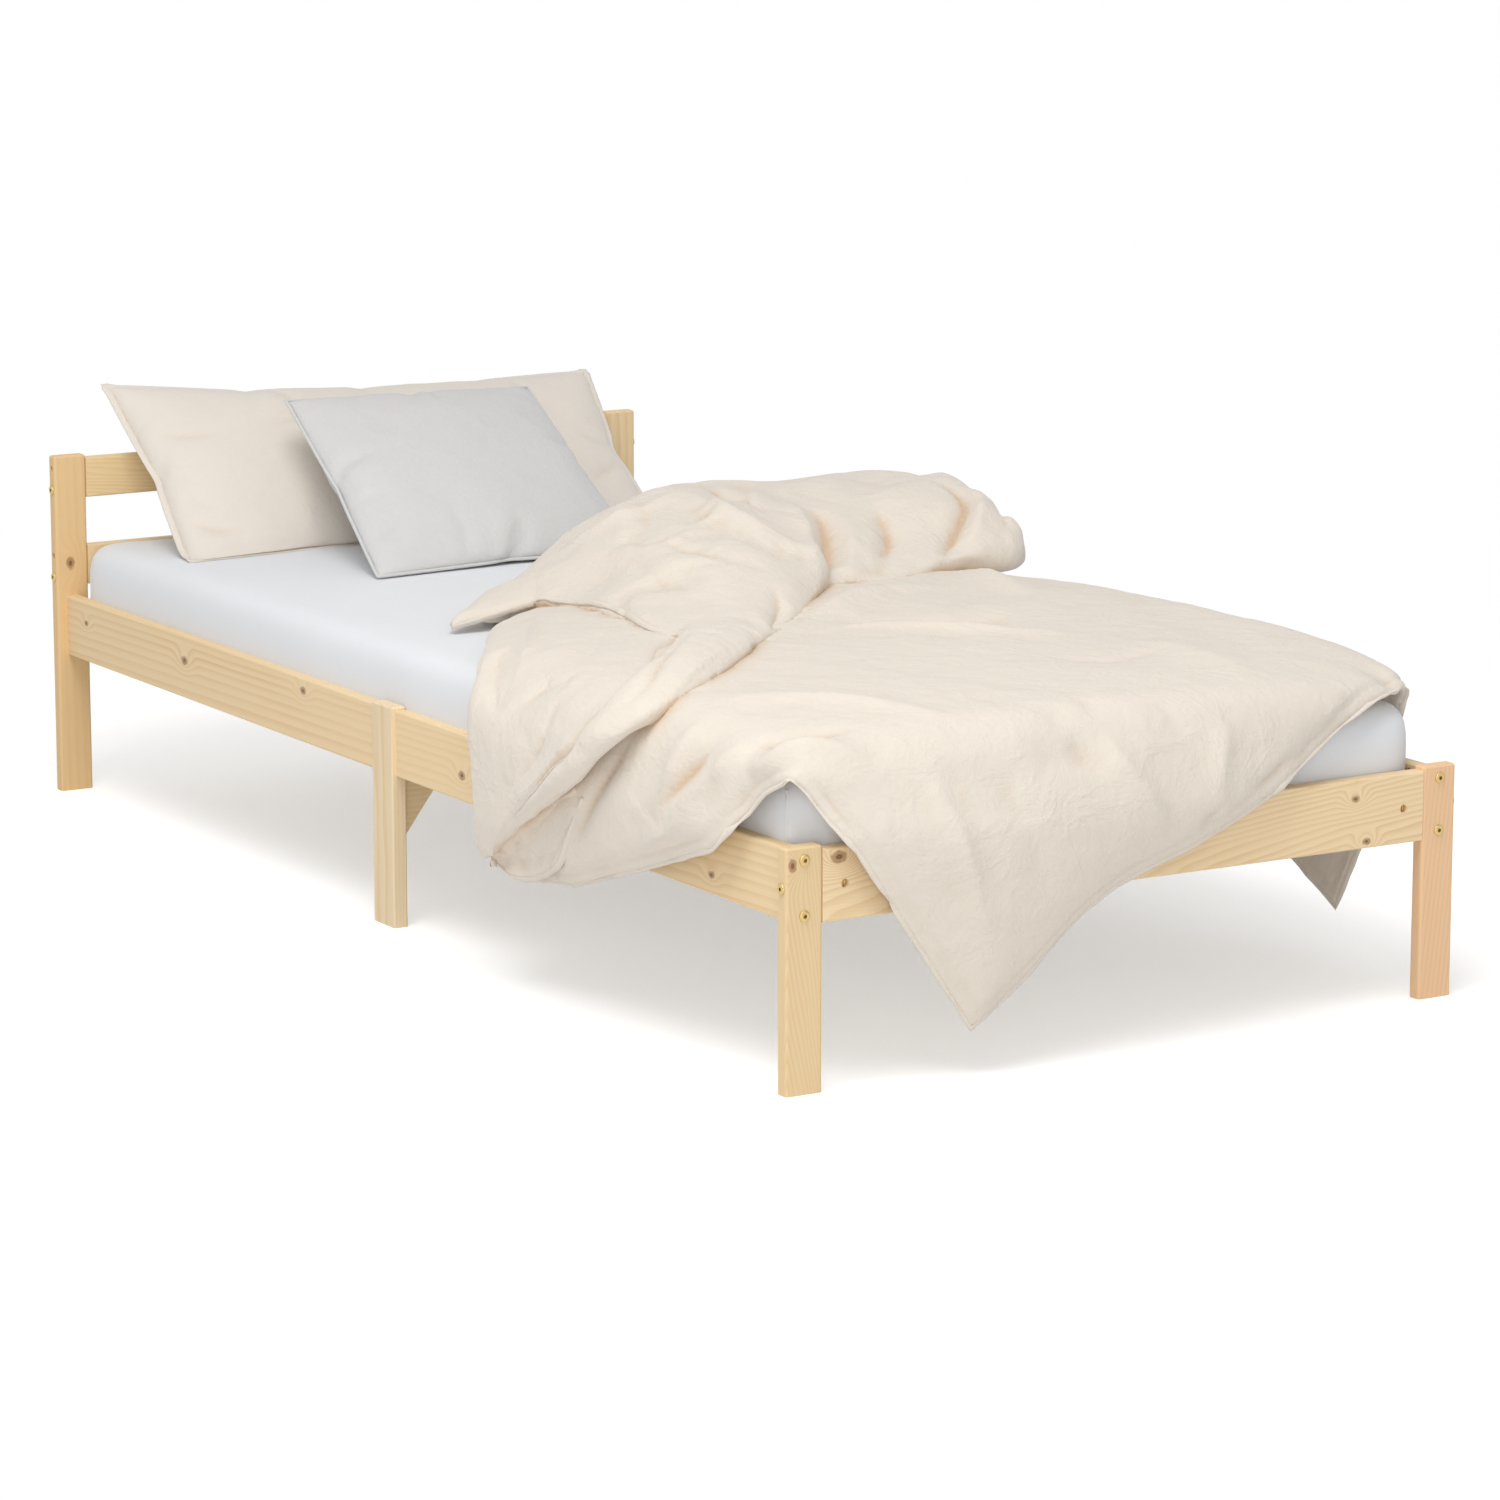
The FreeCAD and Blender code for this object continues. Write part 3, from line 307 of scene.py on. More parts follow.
def pine(name, along, seed, spring, summer, knots=(), tilt=0.02, rise=0.0, fine=1.0):
    """Sawn pine: rings about a heart off the board, fibres along it, knots that turn the rings."""
    timber = bpy.context.scene.bed_timber
    f = Finish(name)
    place = f.place()
    x, y, z = f.parts(place)
    across, through, length = {"X": (z, y, x), "Y": (z, x, y), "Z": (x, y, z)}[along]
    stretch = {"X": (1.5, 1, 1), "Y": (1, 1.5, 1), "Z": (1, 1, 1.5)}[along]
    # The rings drift slowly along the board.
    slow = f.vector(across * 9.0, through * 9.0, length * 1.3 + seed * 3.7)
    wander = f.noise(slow, 1.0, 3.0, 0.55) - 0.5
    heart = 0.05 + (0.012 if rise else 0.023 * (seed * 7 % 5))
    aside = across - 0.02 * (seed * 3 % 7) + wander * 0.034 + length * tilt
    below = through + heart + wander * 0.012 + length * rise
    radius = (aside * aside + below * below) ** 0.5
    mark = None
    for centre, size in knots:
        away = f.distance(place, centre, tuple(size * part for part in stretch))
        swirl = size * KNOT_SWIRL * min(1.0, fine / 0.4)
        radius = radius + (1 - away / KNOT_REACH).at_least(0.0) ** 2.0 * swirl
        heartwood = 1 - (away + (f.noise(place, 160.0) - 0.5) * 0.5).step(0.5, 1.05)
        core = heartwood * (0.80 + 0.20 * ((away * 9.0).sine()))
        mark = core if mark is None else mark.at_least(core)
    # Each year darkens softly towards its summer line and ends sharply. Some years are paler.
    phase = (radius / (timber.ring_width * fine)).fraction()
    ring = phase.step(0.25, 0.9) * (1 - phase.step(0.92, 1.0))
    year = f.noise(f.vector(radius * 90.0, seed * 5.1, 0.0), 1.0) * 0.9
    fibre = f.noise(f.vector(across * 520.0, through * 520.0, length * 7.0), 1.0, 3.0, 0.6)
    cloud = f.noise(slow, 0.6, 2.0)
    patch = f.noise(f.vector(across * 14.0, through * 14.0, length * 2.4 + seed), 1.0)
    bold = (0.35 + 0.65 * patch.step(0.25, 0.7)) * (1.5 if rise else 1.1)
    tone = f.mix(ring * year * bold, spring, summer)
    tone = f.mix(fibre.step(0.5, 0.85) * 0.22, tone, shade(summer, 0.9))
    tone = f.mix(cloud.step(0.35, 0.75) * 0.22, tone, shade(spring, 1.08))
    if mark is not None:
        tone = f.mix(mark * timber.knot_depth, tone, timber.knot)
    height = fibre * 0.5 - ring * 0.35
    return f.surface(
        Base_Color=tone,
        Roughness=0.52 + ring * 0.1 + fibre * 0.06,
        Specular_IOR_Level=0.35,
        Normal=f.bump(height, 0.18, 0.0006),
    )


def end_wood(name, wood):
    """Turned dowel wood with fine flecks."""
    f = Finish(name)
    place = f.place()
    fleck = f.noise(place, 900.0, 2.0)
    tone = f.mix(fleck.step(0.45, 0.75) * 0.6, wood, shade(wood, 0.55))
    return f.surface(Base_Color=tone, Roughness=0.6, Normal=f.bump(fleck, 0.2, 0.0003))


def plated(name, metal, roughness):
    """Plated steel with faint streaks and worn spots."""
    f = Finish(name)
    place = f.place()
    worn = f.noise(place, 260.0, 4.0, 0.65)
    streak = f.noise(place, 1400.0, 2.0)
    tone = f.mix(worn.step(0.5, 0.75) * 0.45, metal, shade(metal, 0.62))
    return f.surface(
        Base_Color=tone,
        Metallic=0.95,
        Roughness=roughness + worn * 0.12 + streak * 0.06,
        Normal=f.bump(streak, 0.08, 0.0002),
    )


# Painted shade: how a yarn's red, green and blue are darkened in the depth of a fold and where
# pieces touch.
PAINTED_SHADE_TINT = (0.80, 0.63, 0.46)
CREASE_DEPTH = 0.006


def woven(name, yarn, pitch, crumple, sheen, weave=0.3, slub=0.0):
    """Plain woven cloth: two crossing yarns, a slight unevenness of tone, fine creases, and
    painted shade in its creases and folds.
    """
    f = Finish(name)
    place = f.place()
    x, y, z = f.parts(place)
    turns = 2 * math.pi / pitch
    warp = ((x * 0.8 + z * 0.6) * turns).sine()
    weft = ((y * 0.86 - z * 0.5 + x * 0.1) * turns).sine()
    yarns = warp * weft
    # Soft crumples, and two sizes of fine crease lines where a noise passes its middle.
    crease = f.noise(place, 26.0, 5.0, 0.62, 0.6)
    bent = f.noise(f.vector(x * 8.0 + y * 3.0, y * 5.0, z * 9.0), 1.0, 4.0, 0.6, 0.9)
    lines = (1 - abs(bent - 0.5) * 11.0).at_least(0.0) ** 1.6
    finer = f.noise(f.vector(x * 22.0 - y * 8.0, y * 16.0, z * 26.0), 1.0, 3.0, 0.6, 0.7)
    lines = lines + (1 - abs(finer - 0.5) * 9.0).at_least(0.0) ** 1.6 * 0.12
    broad = f.noise(place, 5.0, 2.0)
    knobs = f.noise(f.vector(x * 30.0, y * 240.0, z * 240.0), 1.0, 2.0).step(0.6, 0.8) * slub
    tone = f.mix(broad.step(0.3, 0.7) * 0.5, shade(yarn, 0.985), shade(yarn, 1.015))
    # Painted shade: the cloth is darker in the hollows of its crumple bump.
    tone = f.mix((1 - crease.step(0.25, 0.5)) * 0.25, tone, shade(yarn, 0.93))
    tone = f.mix((yarns * 0.5 + 0.5) * 0.10 + knobs * 0.2, tone, shade(yarn, 0.86))
    # Painted shade: a warm dark tone where a piece has stored the depth of its folds and of
    # touching pieces.
    crevice = f.node("ShaderNodeAttribute", {"attribute_name": "crevice"}, output="Fac")
    tone = f.mix(crevice * 0.8, tone, tinted(yarn, PAINTED_SHADE_TINT))
    fine = f.bump(yarns, weave, pitch * 0.2)
    return f.surface(
        Base_Color=tone,
        Roughness=0.86 - crease * 0.06,
        Specular_IOR_Level=0.2,
        Sheen_Weight=sheen,
        Normal=f.bump(crease + lines * 0.16, crumple, CREASE_DEPTH, Normal=fine),
    )


def dress(node, finish):
    """Gives a CAD node its finish."""
    slots = NODES[node].data.materials
    slots.clear()
    slots.append(finish)


# Meshes


def put_in_scene(name, data):
    """A new object with a mesh, lamp or camera in it."""
    made = bpy.data.objects.new(name, data)
    bpy.context.scene.collection.objects.link(made)
    return made


def smooth_faces(mesh, smooth=True):
    """Shades a mesh's faces smooth or flat."""
    mesh.polygons.foreach_set("use_smooth", [smooth] * len(mesh.polygons))


def tree_of(made):
    """A search tree of an object's faces."""
    return BVHTree.FromObject(made, bpy.context.evaluated_depsgraph_get())


def unit(vectors):
    """Vectors brought to a length of one."""
    return vectors / np.maximum(np.linalg.norm(vectors, axis=-1, keepdims=True), 1e-9)


def piece(name, points, faces, finish, body, slot, smooth=True):
    """A new mesh piece that rides on a body."""
    mesh = bpy.data.meshes.new(name)
    mesh.from_pydata([tuple(map(float, p)) for p in points], [], faces)
    mesh.validate()
    made = put_in_scene(name, mesh)
    smooth_faces(mesh, smooth)
    mesh.materials.append(finish)
    face_outward(made)
    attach(made, body)
    return made


def face_outward(made):
    """Turns a mesh's faces outward."""
    work = bmesh.new()
    work.from_mesh(made.data)
    bmesh.ops.recalc_face_normals(work, faces=work.faces)
    work.to_mesh(made.data)
    work.free()


def points_of(made):
    """A mesh's points as an array."""
    flat = np.empty(len(made.data.vertices) * 3)
    made.data.vertices.foreach_get("co", flat)
    return flat.reshape(-1, 3)


def move_points(made, points):
    """Puts an array of points back into a mesh."""
    made.data.vertices.foreach_set("co", np.asarray(points, float).ravel())
    made.data.update()


def normals_of(made):
    """A mesh's point normals as an array."""
    flat = np.empty(len(made.data.vertices) * 3)
    made.data.vertex_normals.foreach_get("vector", flat)
    return flat.reshape(-1, 3)


def take_on(made, kind, **settings):
    """Adds a modifier and applies it to the mesh."""
    modifier = made.modifiers.new(kind.title(), kind)
    for key, value in settings.items():
        setattr(modifier, key, value)
    graph = bpy.context.evaluated_depsgraph_get()
    new = bpy.data.meshes.new_from_object(made.evaluated_get(graph))
    old = made.data
    made.modifiers.remove(modifier)
    made.data = new
    bpy.data.meshes.remove(old)
    new.name = made.name
    smooth_faces(new)


COLLIDER_SKIN = 0.002
COLLIDER_FRICTION = 40


def run_cloth(made, frames, cap=None, pins=None, colliders=(), **settings):
    """Lets a mesh move as cloth for some frames and keeps where its points end up."""
    before = points_of(made)
    cloth = made.modifiers.new("Cloth", "CLOTH")
    cloth.point_cache.frame_start = 1
    cloth.point_cache.frame_end = frames
    gravity = settings.pop("gravity", 0.0)
    gap = settings.pop("gap", 0.004)
    for key, value in settings.items():
        setattr(cloth.settings, key, value)
    cloth.settings.effector_weights.gravity = gravity
    cloth.collision_settings.use_collision = bool(colliders)
    cloth.collision_settings.distance_min = gap
    cloth.collision_settings.collision_quality = 3
    if pins is not None:
        group = made.vertex_groups.new(name="held")
        for index in np.flatnonzero(pins > 0):
            group.add([int(index)], float(pins[index]), "REPLACE")
        cloth.settings.vertex_group_mass = "held"
    for other in colliders:
        if not other.modifiers:
            other.modifiers.new("Collision", "COLLISION")
        other.collision.thickness_outer = COLLIDER_SKIN
        other.collision.cloth_friction = COLLIDER_FRICTION
    scene = bpy.context.scene
    for step in range(1, frames + 1):
        scene.frame_set(step)
    graph = bpy.context.evaluated_depsgraph_get()
    flat = np.empty(before.size)
    made.evaluated_get(graph).data.vertices.foreach_get("co", flat)
    made.modifiers.remove(cloth)
    made.vertex_groups.clear()
    scene.frame_set(1)
    after = flat.reshape(-1, 3)
    if cap is not None:
        way = after - before
        far = np.linalg.norm(way, axis=1, keepdims=True)
        after = before + way * np.minimum(1.0, cap / np.maximum(far, 1e-9))
    move_points(made, after)


def block_form(low, high):
    """A plain block between two corners."""
    work = bmesh.new()
    bmesh.ops.create_cube(work, size=1.0)
    bmesh.ops.scale(work, vec=Vector(high) - Vector(low), verts=work.verts)
    bmesh.ops.translate(work, vec=(Vector(low) + Vector(high)) / 2, verts=work.verts)
    return work


def ease_edges(work, edges, width, segments):
    """Rounds some edges of a form."""
    bmesh.ops.bevel(
        work, geom=edges, offset=width, segments=segments, affect="EDGES", profile=0.5
    )


def scratch_object(name, work):
    """An object from a form, to be discarded later."""
    mesh = bpy.data.meshes.new(name)
    work.to_mesh(mesh)
    work.free()
    return put_in_scene(name, mesh)


def scratch_block(name, low, high, ease):
    """A rounded block that cloth falls on."""
    work = block_form(low, high)
    ease_edges(work, work.edges, ease, 4)
    return scratch_object(name, work)


def discard(*made):
    """Removes scratch objects."""
    for one in made:
        mesh = one.data
        bpy.data.objects.remove(one)
        bpy.data.meshes.remove(mesh)


def smooth_path(points, count):
    """Points spread evenly along a smooth line through the given ones."""
    points = np.asarray(points, float)
    ends = np.vstack([2 * points[0] - points[1], points, 2 * points[-1] - points[-2]])
    line = []
    for n in range(len(points) - 1):
        a, b, c, d = ends[n : n + 4]
        for t in np.linspace(0, 1, 24, endpoint=n == len(points) - 2):
            bend = (2 * a - 5 * b + 4 * c - d) * t**2
            line.append(0.5 * (2 * b + (c - a) * t + bend + (3 * b - 3 * c + d - a) * t**3))
    line = np.array(line)
    run = np.concatenate([[0], np.cumsum(np.linalg.norm(np.diff(line, axis=0), axis=1))])
    wanted = np.linspace(0, run[-1], count)
    return np.stack([np.interp(wanted, run, line[:, k]) for k in range(3)], axis=1)


def soft_noise(points, scale, seed, octaves=3):
    """Smooth noise from sums of plane waves, the same on each run."""
    rng = np.random.default_rng(seed)
    total = np.zeros(len(points))
    weight = 0.0
    for octave in range(octaves):
        share = 0.55**octave
        for _ in range(7):
            way = rng.normal(size=3)
            way *= (2**octave) / (scale * np.linalg.norm(way))
            total += share * np.sin(points @ way * 2 * math.pi + rng.uniform(0, 6.28))
        weight += share * 7**0.5
    return total / weight


def grid_faces(rows, columns, doubled=False):
    """Four-sided faces of a grid of points; a doubled grid has a second layer that faces down."""
    at = np.arange(rows * columns).reshape(rows, columns).tolist()
    faces = []
    for r in range(rows - 1):
        for c in range(columns - 1):
            ring = [at[r][c], at[r + 1][c], at[r + 1][c + 1], at[r][c + 1]]
            faces.append(ring)
            if doubled:
                faces.append([n + rows * columns for n in ring[::-1]])
    return faces


def add_form(points, faces, more_points, more_faces):
    """Adds a form's points and faces to those of others."""
    faces += [[n + len(points) for n in face] for face in more_faces]
    points += list(more_points)


def steps(length, pitch):
    """How many steps of about a pitch fit in a length."""
    return max(8, round(length / pitch))


def cushion_grid(width, height, pitch):
    """A flat closed cover of two layers joined round their rim, with its points' places."""
    across, along = steps(width, pitch), steps(height, pitch)
    points, index, faces = [], {}, []
    for side in (1, -1):
        for i in range(across + 1):
            for j in range(along + 1):
                rim = i in (0, across) or j in (0, along)
                if side == -1 and rim:
                    index[side, i, j] = index[1, i, j]
                    continue
                index[side, i, j] = len(points)
                u, v = i / across - 0.5, j / along - 0.5
                belly = 0 if rim else 0.012 * (1 - 4 * u * u) ** 0.5 * (1 - 4 * v * v) ** 0.5
                points.append((u * width, v * height, side * (belly + (0 if rim else 0.002))))
        for i in range(across):
            for j in range(along):
                ring = [(i, j), (i + 1, j), (i + 1, j + 1), (i, j + 1)]
                faces.append([index[side, a, b] for a, b in ring[::side]])
    rim = [(i, 0) for i in range(across)] + [(across, j) for j in range(along)]
    rim += [(i, along) for i in range(across, 0, -1)] + [(0, j) for j in range(along, 0, -1)]
    return points, faces, [index[1, i, j] for i, j in rim]


def tube(line, normals, half_width, half_height, closed, sides=8):
    """A flattened cord along a line, its width across the given normals."""
    line = np.asarray(line, float)
    count = len(line)
    ahead = np.roll(line, -1, axis=0) - np.roll(line, 1, axis=0)
    if not closed:
        ahead[0] = line[1] - line[0]
        ahead[-1] = line[-1] - line[-2]
    ahead = unit(ahead)
    across = unit(np.cross(ahead, normals))
    up = np.cross(across, ahead)
    points, faces = [], []
    for n in range(count):
        for k in range(sides):
            turn = 2 * math.pi * k / sides
            aside = across[n] * half_width * math.cos(turn)
            points.append(line[n] + aside + up[n] * half_height * math.sin(turn))
    for n in range(count if closed else count - 1):
        m = (n + 1) % count
        for k in range(sides):
            j = (k + 1) % sides
            faces.append([n * sides + k, n * sides + j, m * sides + j, m * sides + k])
    if not closed:
        faces.append(list(range(sides)))
        faces.append([(count - 1) * sides + k for k in range(sides)][::-1])
    return points, faces


def laid_on(made, line):
    """A line moved onto a mesh, with the mesh's normals there."""
    tree = tree_of(made)
    places, normals = [], []
    for point in line:
        place, normal, _, _ = tree.find_nearest(Vector(point))
        places.append(place)
        normals.append(normal)
    return np.array(places), np.array(normals)


def outer_side(points, normals):
    """Which points face away from the bed's middle line."""
    heart = np.column_stack(
        [np.zeros(len(points)), np.clip(points[:, 1], -0.9, 0.9), np.full(len(points), 0.3)]
    )
    return ((points - heart) * normals).sum(axis=1) > 0


def divide_outside(made):
    """Divides the faces on a quilt's outer side once more, so that they hold finer folds."""
    work = bmesh.new()
    work.from_mesh(made.data)
    centres = np.array([face.calc_center_median() for face in work.faces])
    outer = outer_side(centres, np.array([face.normal for face in work.faces]))
    edges = {edge for face, out in zip(work.faces, outer) if out for edge in face.edges}
    chosen = [edge for edge in work.edges if edge in edges]
    bmesh.ops.subdivide_edges(work, edges=chosen, cuts=1, use_grid_fill=True, smooth=1.0)
    work.to_mesh(made.data)
    work.free()
    smooth_faces(made.data)


# Painted shade in folds and where pieces touch: rounds of smoothing that a fold is measured
# against, the depth that is painted darkest, and how soon the painted shade of a touching piece
# fades.
PAINTED_SHADE_ROUNDS = 24
PAINTED_SHADE_DEPTH = 0.0048
CONTACT_SHADE_FADE = 0.008


def paint_fold_shade(made, others=()):
    """Stores painted shade for the cloth's tone: how deep each point lies in a fold or against
    another piece.
    """
    points, normals = points_of(made), normals_of(made)
    count = len(points)
    ends = np.empty(len(made.data.edges) * 2, int)
    made.data.edges.foreach_get("vertices", ends)
    a, b = ends.reshape(-1, 2).T
    links = np.bincount(ends, minlength=count)[:, None]
    soft = points
    for _ in range(PAINTED_SHADE_ROUNDS):
        near = [
            np.bincount(a, soft[b, k], count) + np.bincount(b, soft[a, k], count) for k in range(3)
        ]
        soft = (soft + np.stack(near, axis=1) / links) / 2
    # Painted shade: the deeper a point lies below its smoothed surroundings, the darker its cloth.
    depth = np.clip(((soft - points) * normals).sum(axis=1) / PAINTED_SHADE_DEPTH, 0, 1) ** 1.4
    # Painted shadow where another piece lies close in front of a point.
    for other in others:
        tree = tree_of(other)
        for n, point in enumerate(points):
            # Only what lies in front of a point shades it, not the layer that it runs on from.
            place, facing, _, _ = tree.find_nearest(Vector(point), 0.03)
            if place is None or facing.dot(normals[n]) > 0.8:
                continue
            way = np.array(place) - point
            far = np.linalg.norm(way)
            if way @ normals[n] > -0.15 * far:
                depth[n] = max(depth[n], math.exp(-far / CONTACT_SHADE_FADE))
    # The painted shade is kept on the mesh for the cloth's colour.
    layer = made.data.attributes.new("crevice", "FLOAT", "POINT")
    layer.data.foreach_set("value", depth)


# Timber


# Boards by the axis that their grain runs along. A board's place in the list is its seed.
BOARD_GRAIN = {
    "Z": ["near_foot_post", "near_head_post", "far_head_post", "near_mid_leg", "far_mid_leg"],
    "Y": [
        "near_foot_side_rail",
        "near_head_side_rail",
        "far_foot_side_rail",
        "far_head_side_rail",
    ],
    "X": ["foot_rail", "upper_head_plank", "lower_head_plank", "near_gusset", "far_gusset"],
}
# How a flat-sawn board climbs through its rings, and how close its rings are.
FLAT_SAWN = {
    "foot_rail": (0.02, 0.22),
    "near_foot_post": (0.07, 0.45),
    "upper_head_plank": (0.03, 0.45),
    "far_foot_side_rail": (0.02, 0.45),
}
# How much redder, greener and bluer than the others a board's pale wood is.
BOARD_TINTS = {
    "near_head_post": (0.94, 0.84, 0.71),
    "near_foot_post": (0.94, 0.93, 0.90),
    "near_mid_leg": (0.97, 1.02, 1.12),
    "foot_rail": (1.06, 1.07, 1.10),
    "upper_head_plank": (0.98, 0.96, 0.88),
}
# Each knot's place and size.
KNOTS = {
    "near_foot_post": [((-0.476, -1.03, 0.274), 0.0065)],
    "near_head_post": [((-0.463, 1.01, 0.337), 0.0075)],
    "near_head_side_rail": [
        ((-0.47, 0.612, 0.256), 0.0075),
        ((-0.47, 0.241, 0.273), 0.0065),
        ((-0.47, 0.943, 0.259), 0.005),
    ],
    "near_foot_side_rail": [
        ((-0.47, -0.211, 0.236), 0.007),
        ((-0.47, -0.836, 0.226), 0.0055),
    ],
    "foot_rail": [
        ((-0.413, -1.03, 0.278), 0.0085),
        ((0.331, -1.03, 0.266), 0.005),
        ((0.349, -1.03, 0.211), 0.005),
    ],
    "far_head_side_rail": [((0.47, 0.55, 0.24), 0.007)],
    "far_foot_side_rail": [((0.47, -0.48, 0.26), 0.006)],
    "upper_head_plank": [((0.12, 1.03, 0.455), 0.007)],
    "lower_head_plank": [((-0.22, 1.03, 0.33), 0.006)],
}


class BED_OT_timber(bpy.types.Operator):
    """Gives every board its own pine, with the grain along it"""

    bl_idname = "bed.timber"
    bl_label = "Timber"

    def execute(self, context):
        timber = context.scene.bed_timber
        boards = [(board, along) for along, group in BOARD_GRAIN.items() for board in group]
        for seed, (board, along) in enumerate(boards):
            tilt = 0.012 + 0.006 * (seed % 3)
            rise, fine = FLAT_SAWN.get(board, (0.0, 1.0))
            knots = KNOTS.get(board, ())
            warm = tinted(timber.spring, BOARD_TINTS.get(board, (1, 1, 1)))
            looks = (warm, timber.summer, knots, tilt, rise, fine)
            dress(board, pine(board + "_pine", along, seed, *looks))
        rosy = (timber.rosy, shade(timber.rosy, 0.85))
        dress("far_foot_post", pine("rosy_pine", "Z", 23, *rosy, rise=0.05, fine=0.45))
        pale = (timber.slat, shade(timber.slat, 0.8))
        slat = pine("slat_pine", "X", 31, *pale)
        ledger = pine("ledger_pine", "Y", 37, *pale)
        for node in NODES:
            if node.startswith("slat_") or node == "mid_beam":
                dress(node, slat)
            elif node.endswith("_ledger"):
                dress(node, ledger)
            elif node.endswith("_dowels"):
                dress(node, end_wood(node + "_wood", timber.beech))
        return {"FINISHED"}


# Fastenings


TURNED_PLAY = 0.0001
SHANK_RADIUS = 0.0029
SOCKET_RADIUS = 0.0023
SOCKET_DEPTH = 0.0058
HEAD_HEIGHT = 0.0026
NUT_BEVEL = 0.0006
SLOT_HALF_WIDTH = 0.0009
SLOT_DEPTH = 0.0016
# The axis that each group's bolts and barrel nuts lie along.
BOLT_AXES = {"side_rail_bolts": 1, "foot_rail_bolts": 0, "head_plank_bolts": 0}
NUT_AXES = {"side_rail_nuts": 0, "foot_rail_nuts": 1, "head_plank_nuts": 1, "mid_leg_nuts": 0}


def islands(node):
    """Lowest and highest corners of the separate solids in a CAD node."""
    work = bmesh.new()
    work.from_mesh(NODES[node].data)
    bmesh.ops.remove_doubles(work, verts=work.verts, dist=1e-6)
    left, found = set(work.verts), []
    while left:
        stack, group = [left.pop()], []
        while stack:
            vert = stack.pop()
            group.append(vert.co.copy())
            for edge in vert.link_edges:
                other = edge.other_vert(vert)
                if other in left:
                    left.remove(other)
                    stack.append(other)
        spots = np.array(group)
        found.append((spots.min(axis=0), spots.max(axis=0)))
    work.free()
    return sorted(found, key=lambda box: tuple(box[0].round(5)))


def turned(rings, sides):
    """A turned piece from rings of radius and height; a ring with a flat is six-sided."""
    points, faces = [], []
    for radius, height, six in rings:
        for k in range(sides):
            turn = 2 * math.pi * k / sides
            flat = math.cos((turn + math.pi / 6) % (math.pi / 3) - math.pi / 6) if six else 1.0
            points.append((radius / flat * math.cos(turn), radius / flat * math.sin(turn), height))
    for r in range(len(rings) - 1):
        for k in range(sides):
            j = (k + 1) % sides
            faces.append([r * sides + k, r * sides + j, (r + 1) * sides + j, (r + 1) * sides + k])
    last = (len(rings) - 1) * sides
    faces.append(list(range(sides))[::-1])
    faces.append([last + k for k in range(sides)])
    return np.array(points), faces


def set_along(points, axis, sign, spot):
    """Turns a piece from along Z to along an axis, and moves it to a spot."""
    order = {0: (2, 0, 1), 1: (0, 2, 1)}[axis]
    placed = points[:, order].copy()
    placed[:, axis] *= sign
    return placed + np.array(spot)


def bolt_form(radius, half, sides):
    """A cap bolt: a rounded head with a six-sided socket, on a round shank."""
    rings = [
        (SOCKET_RADIUS * 0.2, half - SOCKET_DEPTH, True),
        (SOCKET_RADIUS, half - SOCKET_DEPTH, True),
        (SOCKET_RADIUS, half - 0.0003, True),
        (SOCKET_RADIUS + 0.0004, half - 0.0001, True),
        (radius * 0.62, half, False),
        (radius - 0.0011, half - 0.0003, False),
        (radius - 0.0003, half - 0.0009, False),
        (radius, half - 0.0015, False),
        (radius, half - HEAD_HEIGHT, False),
        (SHANK_RADIUS, half - HEAD_HEIGHT, False),
        (SHANK_RADIUS, 0.0012 - half, False),
        (SHANK_RADIUS - 0.0010, -half, False),
    ]
    return turned(rings, sides)


def nut_form(radius, half, sides):
    """A barrel nut: a round body with a screwdriver slot across its outer end."""
    rings = [
        (radius - NUT_BEVEL, half, False),
        (radius, half - NUT_BEVEL, False),
        (radius, NUT_BEVEL - half, False),
        (radius - NUT_BEVEL, -half, False),
    ]
    points, faces = turned(rings, sides)
    work = bmesh.new()
    spots = [work.verts.new(point) for point in points]
    for face in faces:
        work.faces.new([spots[n] for n in face])

    def outer_faces():
        return [face for face in work.faces if face.calc_center_median().z > half - 1e-5]

    for edge in (-SLOT_HALF_WIDTH, SLOT_HALF_WIDTH):
        ends = outer_faces()
        lines = [line for face in ends for line in face.edges]
        corners = [corner for face in ends for corner in face.verts]
        bmesh.ops.bisect_plane(
            work,
            geom=list(set(ends + lines + corners)),
            plane_co=(edge, 0, 0),
            plane_no=(1, 0, 0),
        )
    slot = [f for f in outer_faces() if abs(f.calc_center_median().x) < SLOT_HALF_WIDTH * 0.5]
    sunk = bmesh.ops.extrude_face_region(work, geom=slot)["geom"]
    bmesh.ops.delete(work, geom=slot, context="FACES_ONLY")
    sunk = [part for part in sunk if isinstance(part, bmesh.types.BMVert)]
    bmesh.ops.translate(work, vec=(0, 0, -SLOT_DEPTH), verts=sunk)
    work.verts.index_update()
    points = np.array([vert.co for vert in work.verts])
    faces = [[vert.index for vert in face.verts] for face in work.faces]
    work.free()
    return points, faces


